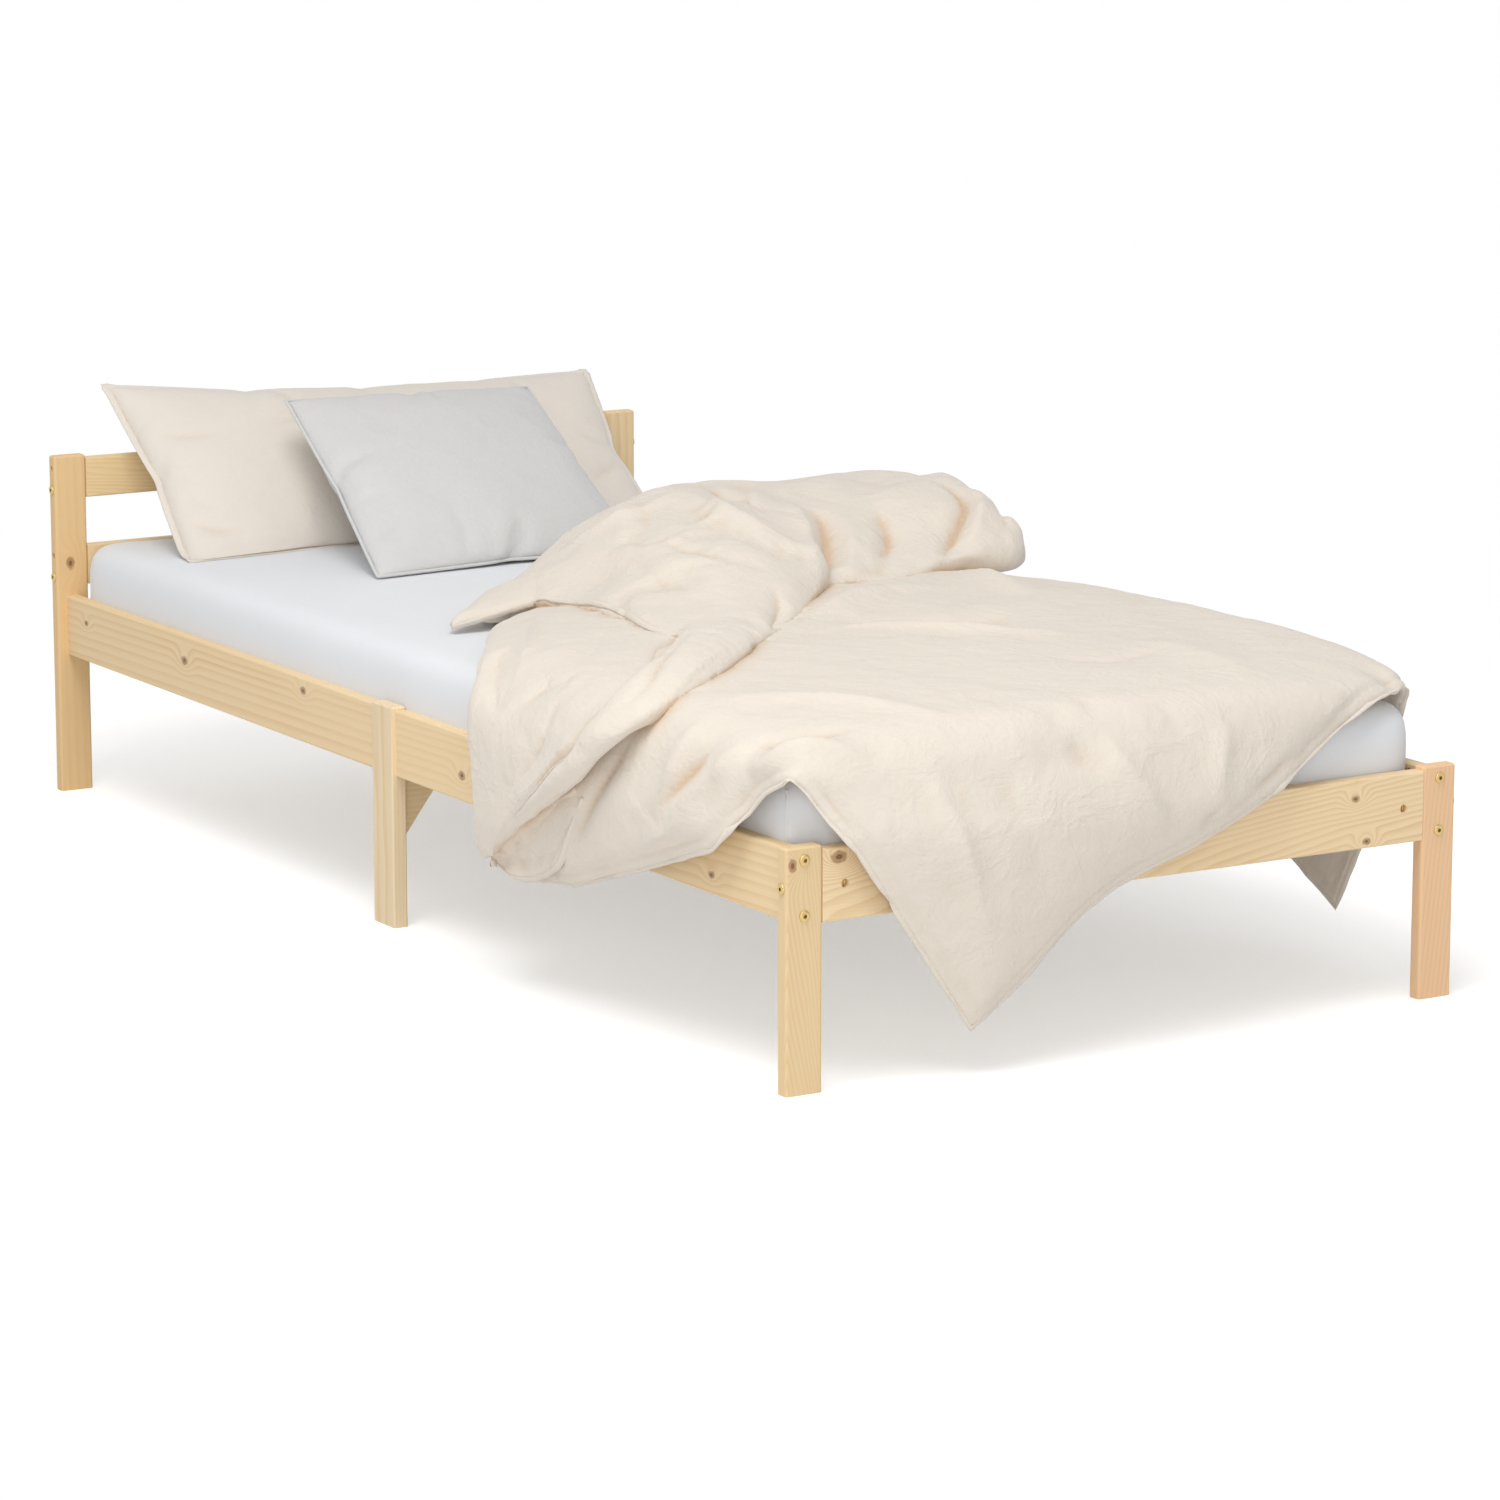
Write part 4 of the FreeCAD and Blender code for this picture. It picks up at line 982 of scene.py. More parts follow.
class BED_OT_fastenings(bpy.types.Operator):
    """Makes the bolts and barrel nuts with their sockets and slots, and finishes the rest"""

    bl_idname = "bed.fastenings"
    bl_label = "Fastenings"

    def execute(self, context):
        kit = context.scene.bed_fastenings
        zinc = plated("yellow_zinc", kit.zinc, roughness=0.34)
        steel = plated("staple_steel", kit.steel, roughness=0.3)
        webbing = woven(
            "tape_webbing", kit.webbing, pitch=0.0016, crumple=0.1, sheen=0.1, weave=0.8
        )
        for node, axis in BOLT_AXES.items():
            self.turn_all(node, axis, bolt_form, kit.sides, zinc)
        for node, axis in NUT_AXES.items():
            self.turn_all(node, axis, nut_form, kit.sides, zinc)
        dress("mid_leg_rods", zinc)
        dress("tape_staples", steel)
        for node in ("near_slat_tape", "far_slat_tape"):
            dress(node, webbing)
        return {"FINISHED"}

    def turn_all(self, node, axis, form_of, sides, zinc):
        """Makes a turned form for each solid of a node, its head away from the bed's middle."""
        points, faces = [], []
        for low, high in islands(node):
            middle = (low + high) / 2
            sign = 1 if middle[axis] > 0 else -1
            half = (high[axis] - low[axis]) / 2
            radius = (high[2] - low[2]) / 2 - TURNED_PLAY
            some_points, some_faces = form_of(radius, half, sides)
            add_form(points, faces, set_along(some_points, axis, sign, middle), some_faces)
        made = piece(node + "_turned", points, faces, zinc, "bed_frame", "yellow_zinc", False)
        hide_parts(node)


# Cloth


def cloth_of(stretch, squeeze, shear, damping, air, **more):
    """Settings of Blender's cloth: its stiffness, how fast it comes to rest, and what else."""
    return {
        "quality": 6,
        "mass": 0.25,
        "tension_stiffness": stretch,
        "compression_stiffness": squeeze,
        "shear_stiffness": shear,
        "tension_damping": damping,
        "compression_damping": damping,
        "shear_damping": damping,
        "air_damping": air,
        **more,
    }


# A cover that is blown up, a quilt that swells a little, and a layer that falls.
COVER_CLOTH = cloth_of(
    stretch=18,
    squeeze=14,
    shear=4,
    damping=6,
    air=3,
    bending_stiffness=0.12,
    use_pressure=True,
    uniform_pressure_force=9,
    shrink_min=-0.03,
)
QUILT_CLOTH = cloth_of(stretch=20, squeeze=20, shear=8, damping=8, air=3, use_pressure=True)
FALLING_CLOTH = cloth_of(
    stretch=25,
    squeeze=25,
    shear=12,
    damping=15,
    air=4,
    quality=8,
    mass=0.3,
    shear_damping=10,
    bending_stiffness=4.0,
    bending_damping=1.0,
)
COVER_FRAMES = 26
QUILT_FRAMES = 14
FALL_FRAMES = 60
FOLD_STEPS = 40
STITCH_REACH = 0.004

# Unevenness of each cloth piece, coarse before fine: height, length, seed and sharpness of crests.
CRUMPLES = {
    "pillow_cover": ((0.0010, 0.15, 51, 0.6),),
    "cushion_cover": ((0.0009, 0.13, 52, 0.6),),
    "duvet_flap": ((0.0012, 0.18, 21, 0.6), (0.0005, 0.06, 22, 0.3)),
    "duvet_pocket": ((0.0016, 0.07, 23, 0.7),),
    "duvet_crown": ((0.0016, 0.20, 31, 0.6), (0.0006, 0.06, 32, 0.3)),
    "duvet_corner": ((0.0008, 0.06, 33, 0.5),),
    "duvet_field": ((0.0014, 0.24, 41, 0.6), (0.0005, 0.07, 42, 0.3)),
    "duvet_field_hem": ((0.0018, 0.05, 43, 0.0),),
}


def metres(*spots):
    """Spots that are written in millimetres."""
    return [tuple(part / 1000 for part in spot) for spot in spots]


def folds(*rows):
    """Folds in millimetres: how far each stands out, its half-width and the spots on its way."""
    return [(height / 1000, reach / 1000, metres(*line)) for height, reach, *line in rows]


def press_folds(made, rows):
    """Raises and sinks a mesh's outer side along lines, as folds in cloth do."""
    points, normals = points_of(made), normals_of(made)
    outer = outer_side(points, normals)
    rise = np.zeros(len(points))
    for height, reach, line in rows:
        path, _ = laid_on(made, smooth_path(line, FOLD_STEPS))
        path[2:-2] = (path[:-4] + path[1:-3] + path[2:-2] + path[3:-1] + path[4:]) / 5
        fade = np.sin(math.pi * (np.arange(FOLD_STEPS) + 0.5) / FOLD_STEPS)
        far = np.linalg.norm(points[:, None] - path[None], axis=2)
        near = far.argmin(axis=1)
        rise += height * fade[near] * np.exp(-((far.min(axis=1) / reach) ** 1.4))
    move_points(made, points + normals * (rise * outer)[:, None])


def crumple(made, shift=0.0):
    """Moves a mesh's points out and in by soft noise, which sharpness turns into crests."""
    for height, scale, seed, sharp in CRUMPLES[made.name]:
        points = points_of(made)
        noise = soft_noise(points, scale, seed, 2)
        noise = noise * (1 - sharp) + (1 - 2.4 * np.abs(noise)) * sharp
        move_points(made, points + normals_of(made) * ((noise + shift) * height)[:, None])


def sew_line(made, rim, inset, depth):
    """Sinks a sewn line at an inset from a quilt's rim, on both of its sides."""
    ahead = np.roll(rim, -1, axis=0) - rim
    spots = np.concatenate([rim + ahead * share for share in (0, 0.2, 0.4, 0.6, 0.8)])
    tree = KDTree(len(spots))
    for n, spot in enumerate(spots):
        tree.insert(spot, n)
    tree.balance()
    points = points_of(made)
    away = np.array([tree.find(point)[2] for point in points])
    sink = depth * np.exp(-(((away - inset) / STITCH_REACH) ** 2))
    move_points(made, points - normals_of(made) * sink[:, None])


def plump(made, grow, pressure, cap, bending, colliders=()):
    """Lets a filled cover with too much cloth swell, so that it buckles into soft folds."""
    run_cloth(
        made,
        QUILT_FRAMES,
        cap=cap,
        colliders=colliders,
        gap=0.003,
        bending_stiffness=bending,
        uniform_pressure_force=pressure,
        shrink_min=-grow,
        **QUILT_CLOTH,
    )


# Mattress and sheet


BLOCK_PITCH = 0.014
# How far the sheet goes under the mattress, and what it has in all for both sides' drop and tuck.
SHEET_TUCK = 0.11
SEAM_HALF_WIDTH = 0.0022
SEAM_HALF_HEIGHT = 0.0007


def is_level(edge):
    """Whether an edge lies level."""
    return abs(edge.verts[0].co.z - edge.verts[1].co.z) < 1e-6


def is_brim(edge):
    """Whether a level edge is between a block's side and its top or bottom."""
    sides = edge.link_faces
    return is_level(edge) and len(sides) == 2 and abs(sides[0].normal.z - sides[1].normal.z) > 0.5


def rounded_block(low, high, corner, ease):
    """Points and faces of a block with round corners and eased top and bottom, closely divided."""
    work = block_form(low, high)
    ease_edges(work, [edge for edge in work.edges if not is_level(edge)], corner, 8)
    ease_edges(work, [edge for edge in work.edges if is_brim(edge)], ease, 6)
    made = scratch_object("block", work)
    take_on(made, "REMESH", mode="VOXEL", voxel_size=BLOCK_PITCH)
    take_on(made, "SMOOTH", iterations=6, factor=0.5)
    points = points_of(made)
    faces = [list(p.vertices) for p in made.data.polygons]
    discard(made)
    return points, faces


class BED_OT_mattress(bpy.types.Operator):
    """Makes the mattress and the fitted sheet stretched over it"""

    bl_idname = "bed.mattress"
    bl_label = "Mattress and sheet"

    def execute(self, context):
        bedding = context.scene.bed_bedding
        low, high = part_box("mattress")
        inset = Vector((0.003, 0.003, 0.0012))
        ticking = woven(
            "mattress_ticking", bedding.ticking, pitch=0.003, crumple=0.2, sheen=0.1, weave=0.6
        )
        form = rounded_block(low + inset, high - inset, corner=0.05, ease=0.028)
        pad = piece("mattress_pad", *form, ticking, "mattress", "mattress_cover")
        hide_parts("mattress")
        self.make_sheet(bedding)
        return {"FINISHED"}

    def make_sheet(self, bedding):
        """The sheet is the skin of a slightly larger block, open underneath."""
        low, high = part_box("fitted_sheet")
        cotton = woven(
            "sheet_cotton", bedding.sheet, pitch=0.0011, crumple=0.05, sheen=0.15, weave=0.2
        )
        points, faces = rounded_block(low, high, corner=0.052, ease=0.030)
        keep = []
        for face in faces:
            spot = points[face].mean(axis=0)
            inside = min(high.x - abs(spot[0]), high.y - abs(spot[1]))
            if spot[2] > low.z + 0.006 or inside < SHEET_TUCK:
                keep.append(face)
        used = sorted({n for face in keep for n in face})
        renumber = {old: new for new, old in enumerate(used)}
        points = points[used]
        keep = [[renumber[n] for n in face] for face in keep]
        # Slack shows as shallow waves on top and as puckers at the corners.
        top = np.clip((points[:, 2] - high.z + 0.05) / 0.04, 0, 1)
        waves = soft_noise(points * np.array([1, 0.6, 1]), 0.5, 11) * 0.0012 * top
        inward = np.array([high.x, high.y]) - np.abs(points[:, :2])
        corner = np.exp(-(inward**2).sum(axis=1) / 0.012)
        pucker = soft_noise(points * np.array([1, 1, 0.15]), 0.05, 12, 2) * 0.002 * corner
        pucker = np.abs(pucker) * (inward.min(axis=1) < 0.03)
        points[:, 2] += np.minimum(waves, 0.0004)
        points[:, :2] -= np.sign(points[:, :2]) * pucker[:, None]
        sheet = piece("fitted_sheet_cloth", points, keep, cotton, "mattress", "sheet_cotton")
        take_on(sheet, "SOLIDIFY", thickness=0.001, offset=-1.0)
        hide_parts("fitted_sheet")
        levels = np.linspace(low.z + 0.02, high.z - 0.012, 24)
        for side, x in (("near", 0.001 - high.x), ("far", high.x - 0.001)):
            for end, y in (("foot", 0.034 - high.y), ("head", high.y - 0.034)):
                places, normals = laid_on(sheet, [(x, y, z) for z in levels])
                made = tube(places, normals, SEAM_HALF_WIDTH, SEAM_HALF_HEIGHT, False)
                name = f"sheet_seam_{side}_{end}"
                piece(name, *made, cotton, "mattress", "sheet_cotton")


# Pillow and cushion


def straighten(points, rim, across, share):
    """Takes back part of how far a pad's sides pull in between its corners."""
    side = np.vstack([points[rim], points[rim[:1]]])
    along = len(rim) // 2 - across
    lower = side[: across + 1]
    right = side[across : across + along + 1]
    upper = side[across + along : 2 * across + along + 1][::-1]
    left = side[2 * across + along :][::-1]
    low, high = points.min(axis=0), points.max(axis=0)
    x, y = points[:, 0].copy(), points[:, 1].copy()
    x0, x1 = np.interp(y, left[:, 1], left[:, 0]), np.interp(y, right[:, 1], right[:, 0])
    y0, y1 = np.interp(x, lower[:, 0], lower[:, 1]), np.interp(x, upper[:, 0], upper[:, 1])
    points[:, 0] += share * (low[0] + (x - x0) / (x1 - x0) * (high[0] - low[0]) - x)
    points[:, 1] += share * (low[1] + (y - y0) / (y1 - y0) * (high[1] - low[1]) - y)
    return points


def filled_cover(name, size, pitch, straight, dressing):
    """A flat cover blown up by its filling, lying flat at the origin, with its rim's points."""
    width, height, thickness = size
    points, faces, rim = cushion_grid(width, height, pitch)
    made = piece(name, points, faces, *dressing)
    run_cloth(made, COVER_FRAMES, **COVER_CLOTH)
    take_on(made, "SMOOTH", iterations=10, factor=0.5)
    points = straighten(points_of(made), rim, steps(width, pitch), straight)
    points[:, :2] -= (points[:, :2].max(axis=0) + points[:, :2].min(axis=0)) / 2
    points[:, 2] *= thickness / max(np.ptp(points[:, 2]), 0.01)
    move_points(made, points)
    return made, rim


def hang_on_corners(made, corners):
    """Puts a flat pad between four corners: lower near, lower far, upper near and upper far."""
    points = points_of(made)
    low = points[:, :2].min(axis=0)
    span = np.ptp(points[:, :2], axis=0)
    u, v = ((points[:, :2] - low) / span).T[:, :, None]
    a, b, c, d = np.array(corners, float)
    normal = unit(np.cross(b - a + d - c, c - a + d - b))
    flat = (a * (1 - u) + b * u) * (1 - v) + (c * (1 - u) + d * u) * v
    return flat + points[:, 2:] * normal, normal


def lean_on_edge(points, normal, edge_y, edge_z):
    """Moves a pad back along its normal until it touches a rail's top edge."""
    low, high = -0.03, 0.05
    for _ in range(30):
        middle = (low + high) / 2
        moved = points - normal * middle
        clear = np.maximum(edge_y - moved[:, 1], moved[:, 2] - edge_z).min()
        low, high = (middle, high) if clear > 0.0005 else (low, middle)
    return points - normal * low


def press_out(made, other, gap):
    """Moves the points of a soft piece out of another piece, where the two touch."""
    tree = tree_of(other)
    points = points_of(made)
    for n, point in enumerate(points):
        place, normal, _, _ = tree.find_nearest(Vector(point))
        off = Vector(point) - place
        if off.dot(normal) < gap and off.length < 0.06:
            points[n] = np.array(place) + np.array(normal) * gap
    move_points(made, points)


def settle(points, floor, give):
    """Flattens what would go below a level, as a soft thing does where it rests."""
    sunk = floor + give - points[:, 2]
    squashed = floor + give * np.exp(-np.maximum(sunk, 0) / give)
    points[:, 2] = np.where(sunk > 0, squashed, points[:, 2])
    return points


def hem_round(edge, half_width, half_height):
    """A flat hem round a cover's rim, standing out from it."""
    middle = edge.mean(axis=0)
    outward = edge - middle
    normal = np.linalg.svd(edge - middle)[2][2]
    outward -= np.outer(outward @ normal, normal)
    ahead = np.roll(edge, -1, axis=0) - np.roll(edge, 1, axis=0)
    away = unit(np.cross(ahead, normal))
    away *= np.sign((away * outward).sum(axis=1, keepdims=True))
    normals = np.tile(normal, (len(edge), 1))
    return tube(edge + away * half_width * 0.5, normals, half_width, half_height, True)


def settle_piece(made):
    """Keeps a small piece above the sheet."""
    points = points_of(made)
    points[:, 2] = np.maximum(points[:, 2], BED_TOP + HEM_GAP)
    move_points(made, points)


PILLOW_THICKNESS = 0.126
CUSHION_THICKNESS = 0.100
SHEET_GAP = 0.0005
HEM_GAP = 0.0004
# Corners that the pads lean between: lower near, lower far, upper near and upper far.
PILLOW_CORNERS = metres(
    (-387, 735, 366), (392, 745, 366), (-384, 1028, 609), (401, 998, 582),
)
CUSHION_CORNERS = metres(
    (-227, 489, 369), (200, 500, 372), (-201, 823, 578), (231, 888, 561),
)

PILLOW_FOLDS = folds(
    (-6, 12, (-382, 806, 435), (-340, 771, 423), (-285, 754, 415)),
    (-4, 10, (-378, 839, 467), (-347, 807, 457), (-316, 792, 452)),
    (-4, 12, (-377, 933, 544), (-322, 901, 544), (-267, 891, 548)),
    (-4, 14, (-228, 884, 549), (-150, 890, 561), (-56, 885, 562)),
    (-5, 12, (303, 853, 510), (350, 849, 492), (388, 856, 477)),
    (-5, 12, (285, 778, 441), (332, 802, 454), (384, 827, 455)),
    (-4, 12, (-149, 1003, 608), (-133, 954, 597), (-126, 920, 581)),
    (-4, 12, (244, 990, 593), (259, 946, 580), (274, 922, 566)),
)
CUSHION_FOLDS = folds(
    (-5, 10, (-207, 678, 499), (-177, 666, 509), (-137, 672, 521)),
    (-4, 10, (-212, 618, 461), (-186, 599, 465), (-151, 597, 474)),
    (-5, 10, (-214, 538, 411), (-182, 547, 431), (-150, 564, 451)),
    (-4, 10, (-81, 493, 386), (-72, 520, 421), (-78, 551, 449)),
    (-4, 10, (215, 728, 494), (185, 705, 504), (151, 701, 515)),
    (-4, 10, (37, 845, 577), (31, 807, 575), (20, 765, 564)),
)


class BED_OT_pillow(bpy.types.Operator):
    """Makes the pillow that leans on the headboard"""

    bl_idname = "bed.pillow"
    bl_label = "Pillow"

    def execute(self, context):
        bedding = context.scene.bed_bedding
        cotton = woven(
            "pillow_cotton", bedding.pillow, pitch=0.0012, crumple=0.28, sheen=0.2, weave=0.25
        )
        pillow, rim = filled_cover(
            "pillow_cover",
            (bedding.pillow_width, bedding.pillow_height, PILLOW_THICKNESS),
            pitch=0.011,
            straight=0.45,
            dressing=(cotton, "pillow", "pillow_cotton"),
        )
        plank_low, plank_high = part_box("upper_head_plank")
        points, normal = hang_on_corners(pillow, PILLOW_CORNERS)
        points = lean_on_edge(points, normal, plank_low.y, plank_high.z)
        move_points(pillow, settle(points, BED_TOP + SHEET_GAP, give=0.012))
        edge = points_of(pillow)[rim]
        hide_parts("pillow")
        take_on(pillow, "SUBSURF", levels=1)
        press_folds(pillow, PILLOW_FOLDS)
        crumple(pillow, shift=-1.0)
        # Painted shade in the pillow's folds.
        paint_fold_shade(pillow)
        hem = hem_round(edge, half_width=0.006, half_height=0.0016)
        settle_piece(piece("pillow_hem", *hem, cotton, "pillow", "pillow_cotton"))
        return {"FINISHED"}


class BED_OT_cushion(bpy.types.Operator):
    """Makes the cushion that leans on the pillow"""

    bl_idname = "bed.cushion"
    bl_label = "Cushion"

    def execute(self, context):
        bedding = context.scene.bed_bedding
        linen = woven(
            "cushion_linen", bedding.cushion, pitch=0.0018, crumple=0.25, sheen=0.15, slub=0.6
        )
        cushion, rim = filled_cover(
            "cushion_cover",
            (bedding.cushion_width, bedding.cushion_height, CUSHION_THICKNESS),
            pitch=0.010,
            straight=0.8,
            dressing=(linen, "cushion", "cushion_linen"),
        )
        points, _ = hang_on_corners(cushion, CUSHION_CORNERS)
        move_points(cushion, settle(points, BED_TOP + SHEET_GAP, give=0.010))
        press_out(cushion, bpy.data.objects["pillow_cover"], gap=0.001)
        edge = points_of(cushion)[rim]
        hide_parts("cushion")
        take_on(cushion, "SUBSURF", levels=1)
        press_folds(cushion, CUSHION_FOLDS)
        crumple(cushion, shift=-1.0)
        piping = hem_round(edge, half_width=0.0025, half_height=0.0025)
        settle_piece(piece("cushion_piping", *piping, linen, "cushion", "cushion_linen"))
        return {"FINISHED"}


# Duvet


# The lower layer's own frame: the corner that hangs at the foot, and the ways from it.
FOOT_TIP = np.array([-0.245, -1.349])
ALONG_WIDTH = np.array([0.88, 0.475])
ALONG_LENGTH = np.array([-0.475, 0.88])
FIELD_PITCH = 0.018
HEM_HALF_WIDTH = 0.005
# What the lower layer falls on: lowest and highest corner, and how round the edges are.
MATTRESS_BLOCK = ((-0.456, -1.008, 0.2), (0.456, 1.0, BED_TOP), 0.025)
FRAME_BLOCK = ((-0.473, -1.033, 0.0), (0.473, 1.0, 0.292), 0.008)
# How far the lower layer's near edge bows out, against the way up that edge.
NEAR_EDGE = metres(
    (0, 0), (250, 26), (470, 42), (540, 66), (575, 78), (735, 52), (830, 34), (920, 14),
    (985, -14), (1080, -60),
)


def grid_normals(grid):
    """The way out of a grid of points, at each of them."""
    return unit(np.cross(np.gradient(grid, axis=0), np.gradient(grid, axis=1)))


def quilt_from(grid, loft, rim_share, rim_reach, flat_under=False):
    """A filled quilt about a grid of middle points, as points and faces, and its rim's points."""
    rows, columns, _ = grid.shape
    normal = grid_normals(grid)
    if normal[..., 2].mean() < 0:
        normal = -normal
    i, j = np.meshgrid(np.arange(rows), np.arange(columns), indexing="ij")
    pitch = np.linalg.norm(np.gradient(grid, axis=0), axis=2).mean()
    rim = np.minimum(np.minimum(i, rows - 1 - i), np.minimum(j, columns - 1 - j)) * pitch
    share = np.clip(rim / rim_reach, 0, 1)
    half = loft / 2 * (rim_share + (1 - rim_share) * np.sqrt(1 - (1 - share) ** 2))
    low = np.broadcast_to(np.asarray(loft) / 2, half.shape) if flat_under else half
    top = (grid + normal * (2 * half - low)[..., None]).reshape(-1, 3)
    under = (grid - normal * low[..., None]).reshape(-1, 3)
    base = rows * columns
    at = np.arange(base).reshape(rows, columns)
    faces = grid_faces(rows, columns, doubled=True)
    sides = (at[:, 0], at[-1, 1:], at[-2::-1, -1], at[0, -2:0:-1])
    edge = np.concatenate(sides).tolist()
    for a, b in zip(edge, edge[1:] + edge[:1]):
        faces.append([a, b, b + base, a + base])
    return (np.vstack([top, under]), faces), edge


# Outline and heights of the thrown-back end, and the edges of the layers under it.
CROWN_FRONT = metres(
    (-300, 47), (-215, 47), (-221, -154), (-277, -356), (-250, -460), (-155, -450), (-41, -338),
    (103, -179), (226, -160), (337, -113), (444, -100), (490, -60),
)
CROWN_BACK = metres(
    (-300, 60), (-260, 140), (-170, 215), (-30, 320), (100, 370), (250, 370), (400, 330),
    (490, 250), (515, 170),
)
CROWN_HEIGHTS = metres(
    (-344, 47, 376), (-194, 140, 405), (-106, 187, 432), (-4, 283, 464), (-144, -19, 430),
    (-215, 47, 402), (-221, -154, 424), (-277, -356, 428), (-98, -20, 480), (-98, -177, 475),
    (-14, -192, 470), (80, -140, 460), (-258, -448, 428), (-155, -426, 430), (49, -228, 435),
    (33, 180, 525), (102, 160, 525), (164, 173, 515), (200, 149, 492), (208, 82, 478),
    (203, -22, 455), (172, -84, 435), (341, 151, 505), (420, 143, 500), (250, -100, 445),
    (387, -36, 470), (456, -32, 478), (428, -90, 456), (500, 50, 498), (100, 300, 490),
    (300, 300, 480), (490, 170, 506),
)
FLAP_HEAD_EDGE = metres(
    (-120, 60, 384), (-209, 60, 381), (-340, -58, 384), (-452, -237, 388), (-508, -324, 372),
    (-524, -346, 340), (-526, -365, 267), (-526, -378, 168),
)
FLAP_FOOT_EDGE = metres(
    (-120, -300, 410), (-294, -448, 414), (-413, -590, 414), (-495, -660, 398),
    (-524, -645, 350), (-526, -602, 308), (-526, -507, 250), (-526, -401, 178),
)
BAND_UPPER_EDGE = metres(
    (-140, -300, 405), (-262, -420, 424), (-385, -570, 430), (-478, -652, 414),
    (-522, -642, 360), (-527, -600, 319), (-530, -517, 269), (-530, -429, 216),
    (-530, -388, 176),
)
BAND_LOWER_EDGE = metres(
    (20, -260, 400), (-162, -452, 414), (-340, -640, 416), (-474, -735, 402), (-518, -690, 362),
    (-526, -620, 308), (-528, -534, 258), (-528, -481, 228), (-528, -417, 186),
    (-528, -386, 163),
)
POCKET_UPPER_EDGE = metres(
    (-524, -600, 296), (-524, -534, 268), (-524, -481, 238), (-524, -417, 196),
    (-524, -384, 172),
)
POCKET_LOWER_EDGE = metres(
    (-517, -615, 285), (-517, -580, 235), (-517, -548, 188), (-517, -490, 160),
    (-518, -430, 152), (-522, -382, 160),
)
# Lines of the hems on the thrown-back end.
END_HEM = metres(
    (-285, 42, 394), (-215, 42, 405), (-221, -154, 424), (-270, -345, 430), (-268, -425, 432),
)
SIDE_HEM = metres(
    (-262, -418, 430), (-388, -575, 436), (-486, -660, 416), (-534, -645, 360),
    (-545, -598, 320), (-545, -515, 271), (-545, -427, 218), (-542, -388, 180),
)
TIP_HEM_EDGE = metres(
    (-346, 45, 378), (-285, 44, 388), (-225, 44, 400), (-170, 30, 415),
)
TIP_BACK_EDGE = metres(
    (-343, 52, 378), (-285, 106, 388), (-215, 165, 400), (-120, 180, 415),
)
CROWN_FOLDS = folds(
    (-24, 15, (230, 80, 480), (211, 13, 460), (160, -80, 450), (100, -180, 430)),
    (17.4, 20, (215, 120, 490), (180, 20, 470), (115, -110, 460), (42, -236, 430)),
    (13, 20, (68, 132, 510), (45, 0, 510), (60, -77, 490), (96, -150, 460)),
    (-14.5, 16, (150, 250, 500), (130, 133, 510), (140, 30, 500)),
    (-21.7, 12, (458, 120, 500), (442, 16, 480), (376, -56, 460), (328, -105, 440)),
    (14.5, 14, (475, 80, 490), (461, 20, 480), (423, -46, 460), (373, -96, 440)),
    (-7, 12, (495, 60, 480), (476, -20, 460), (430, -85, 440)),
    (-14.5, 13, (-41, -269, 450), (-75, -345, 440), (-144, -442, 420)),
    (-11.6, 14, (320, 60, 490), (285, -39, 460), (217, -111, 440)),
    (10.1, 16, (260, 50, 480), (215, -50, 450), (150, -147, 430)),
    (10.1, 18, (-120, 160, 450), (-60, 110, 490), (3, 113, 510), (61, 132, 510)),
    (-8.7, 18, (-90, -11, 480), (-82, -122, 490), (-60, -203, 480), (-41, -240, 460)),
    (-5.8, 14, (-118, -28, 460), (-153, -157, 460), (-160, -255, 460)),
    (-10.1, 9, (-300, -500, 440), (-404, -620, 440), (-479, -700, 420), (-529, -700, 390)),
    (7.2, 14, (-282, -587, 430), (-393, -693, 430), (-464, -732, 420)),
)
FLAP_FOLDS = folds(
    (7.5, 14, (-260, -50, 400), (-370, -220, 410), (-445, -342, 410), (-520, -434, 370)),
    (-7.5, 12, (-290, -263, 420), (-450, -460, 410), (-513, -466, 380), (-543, -433, 340)),
    (7.5, 10, (-502, -650, 400), (-533, -620, 360), (-545, -566, 310), (-546, -482, 250)),
    (-6, 10, (-495, -540, 400), (-538, -540, 340), (-540, -480, 270)),
)
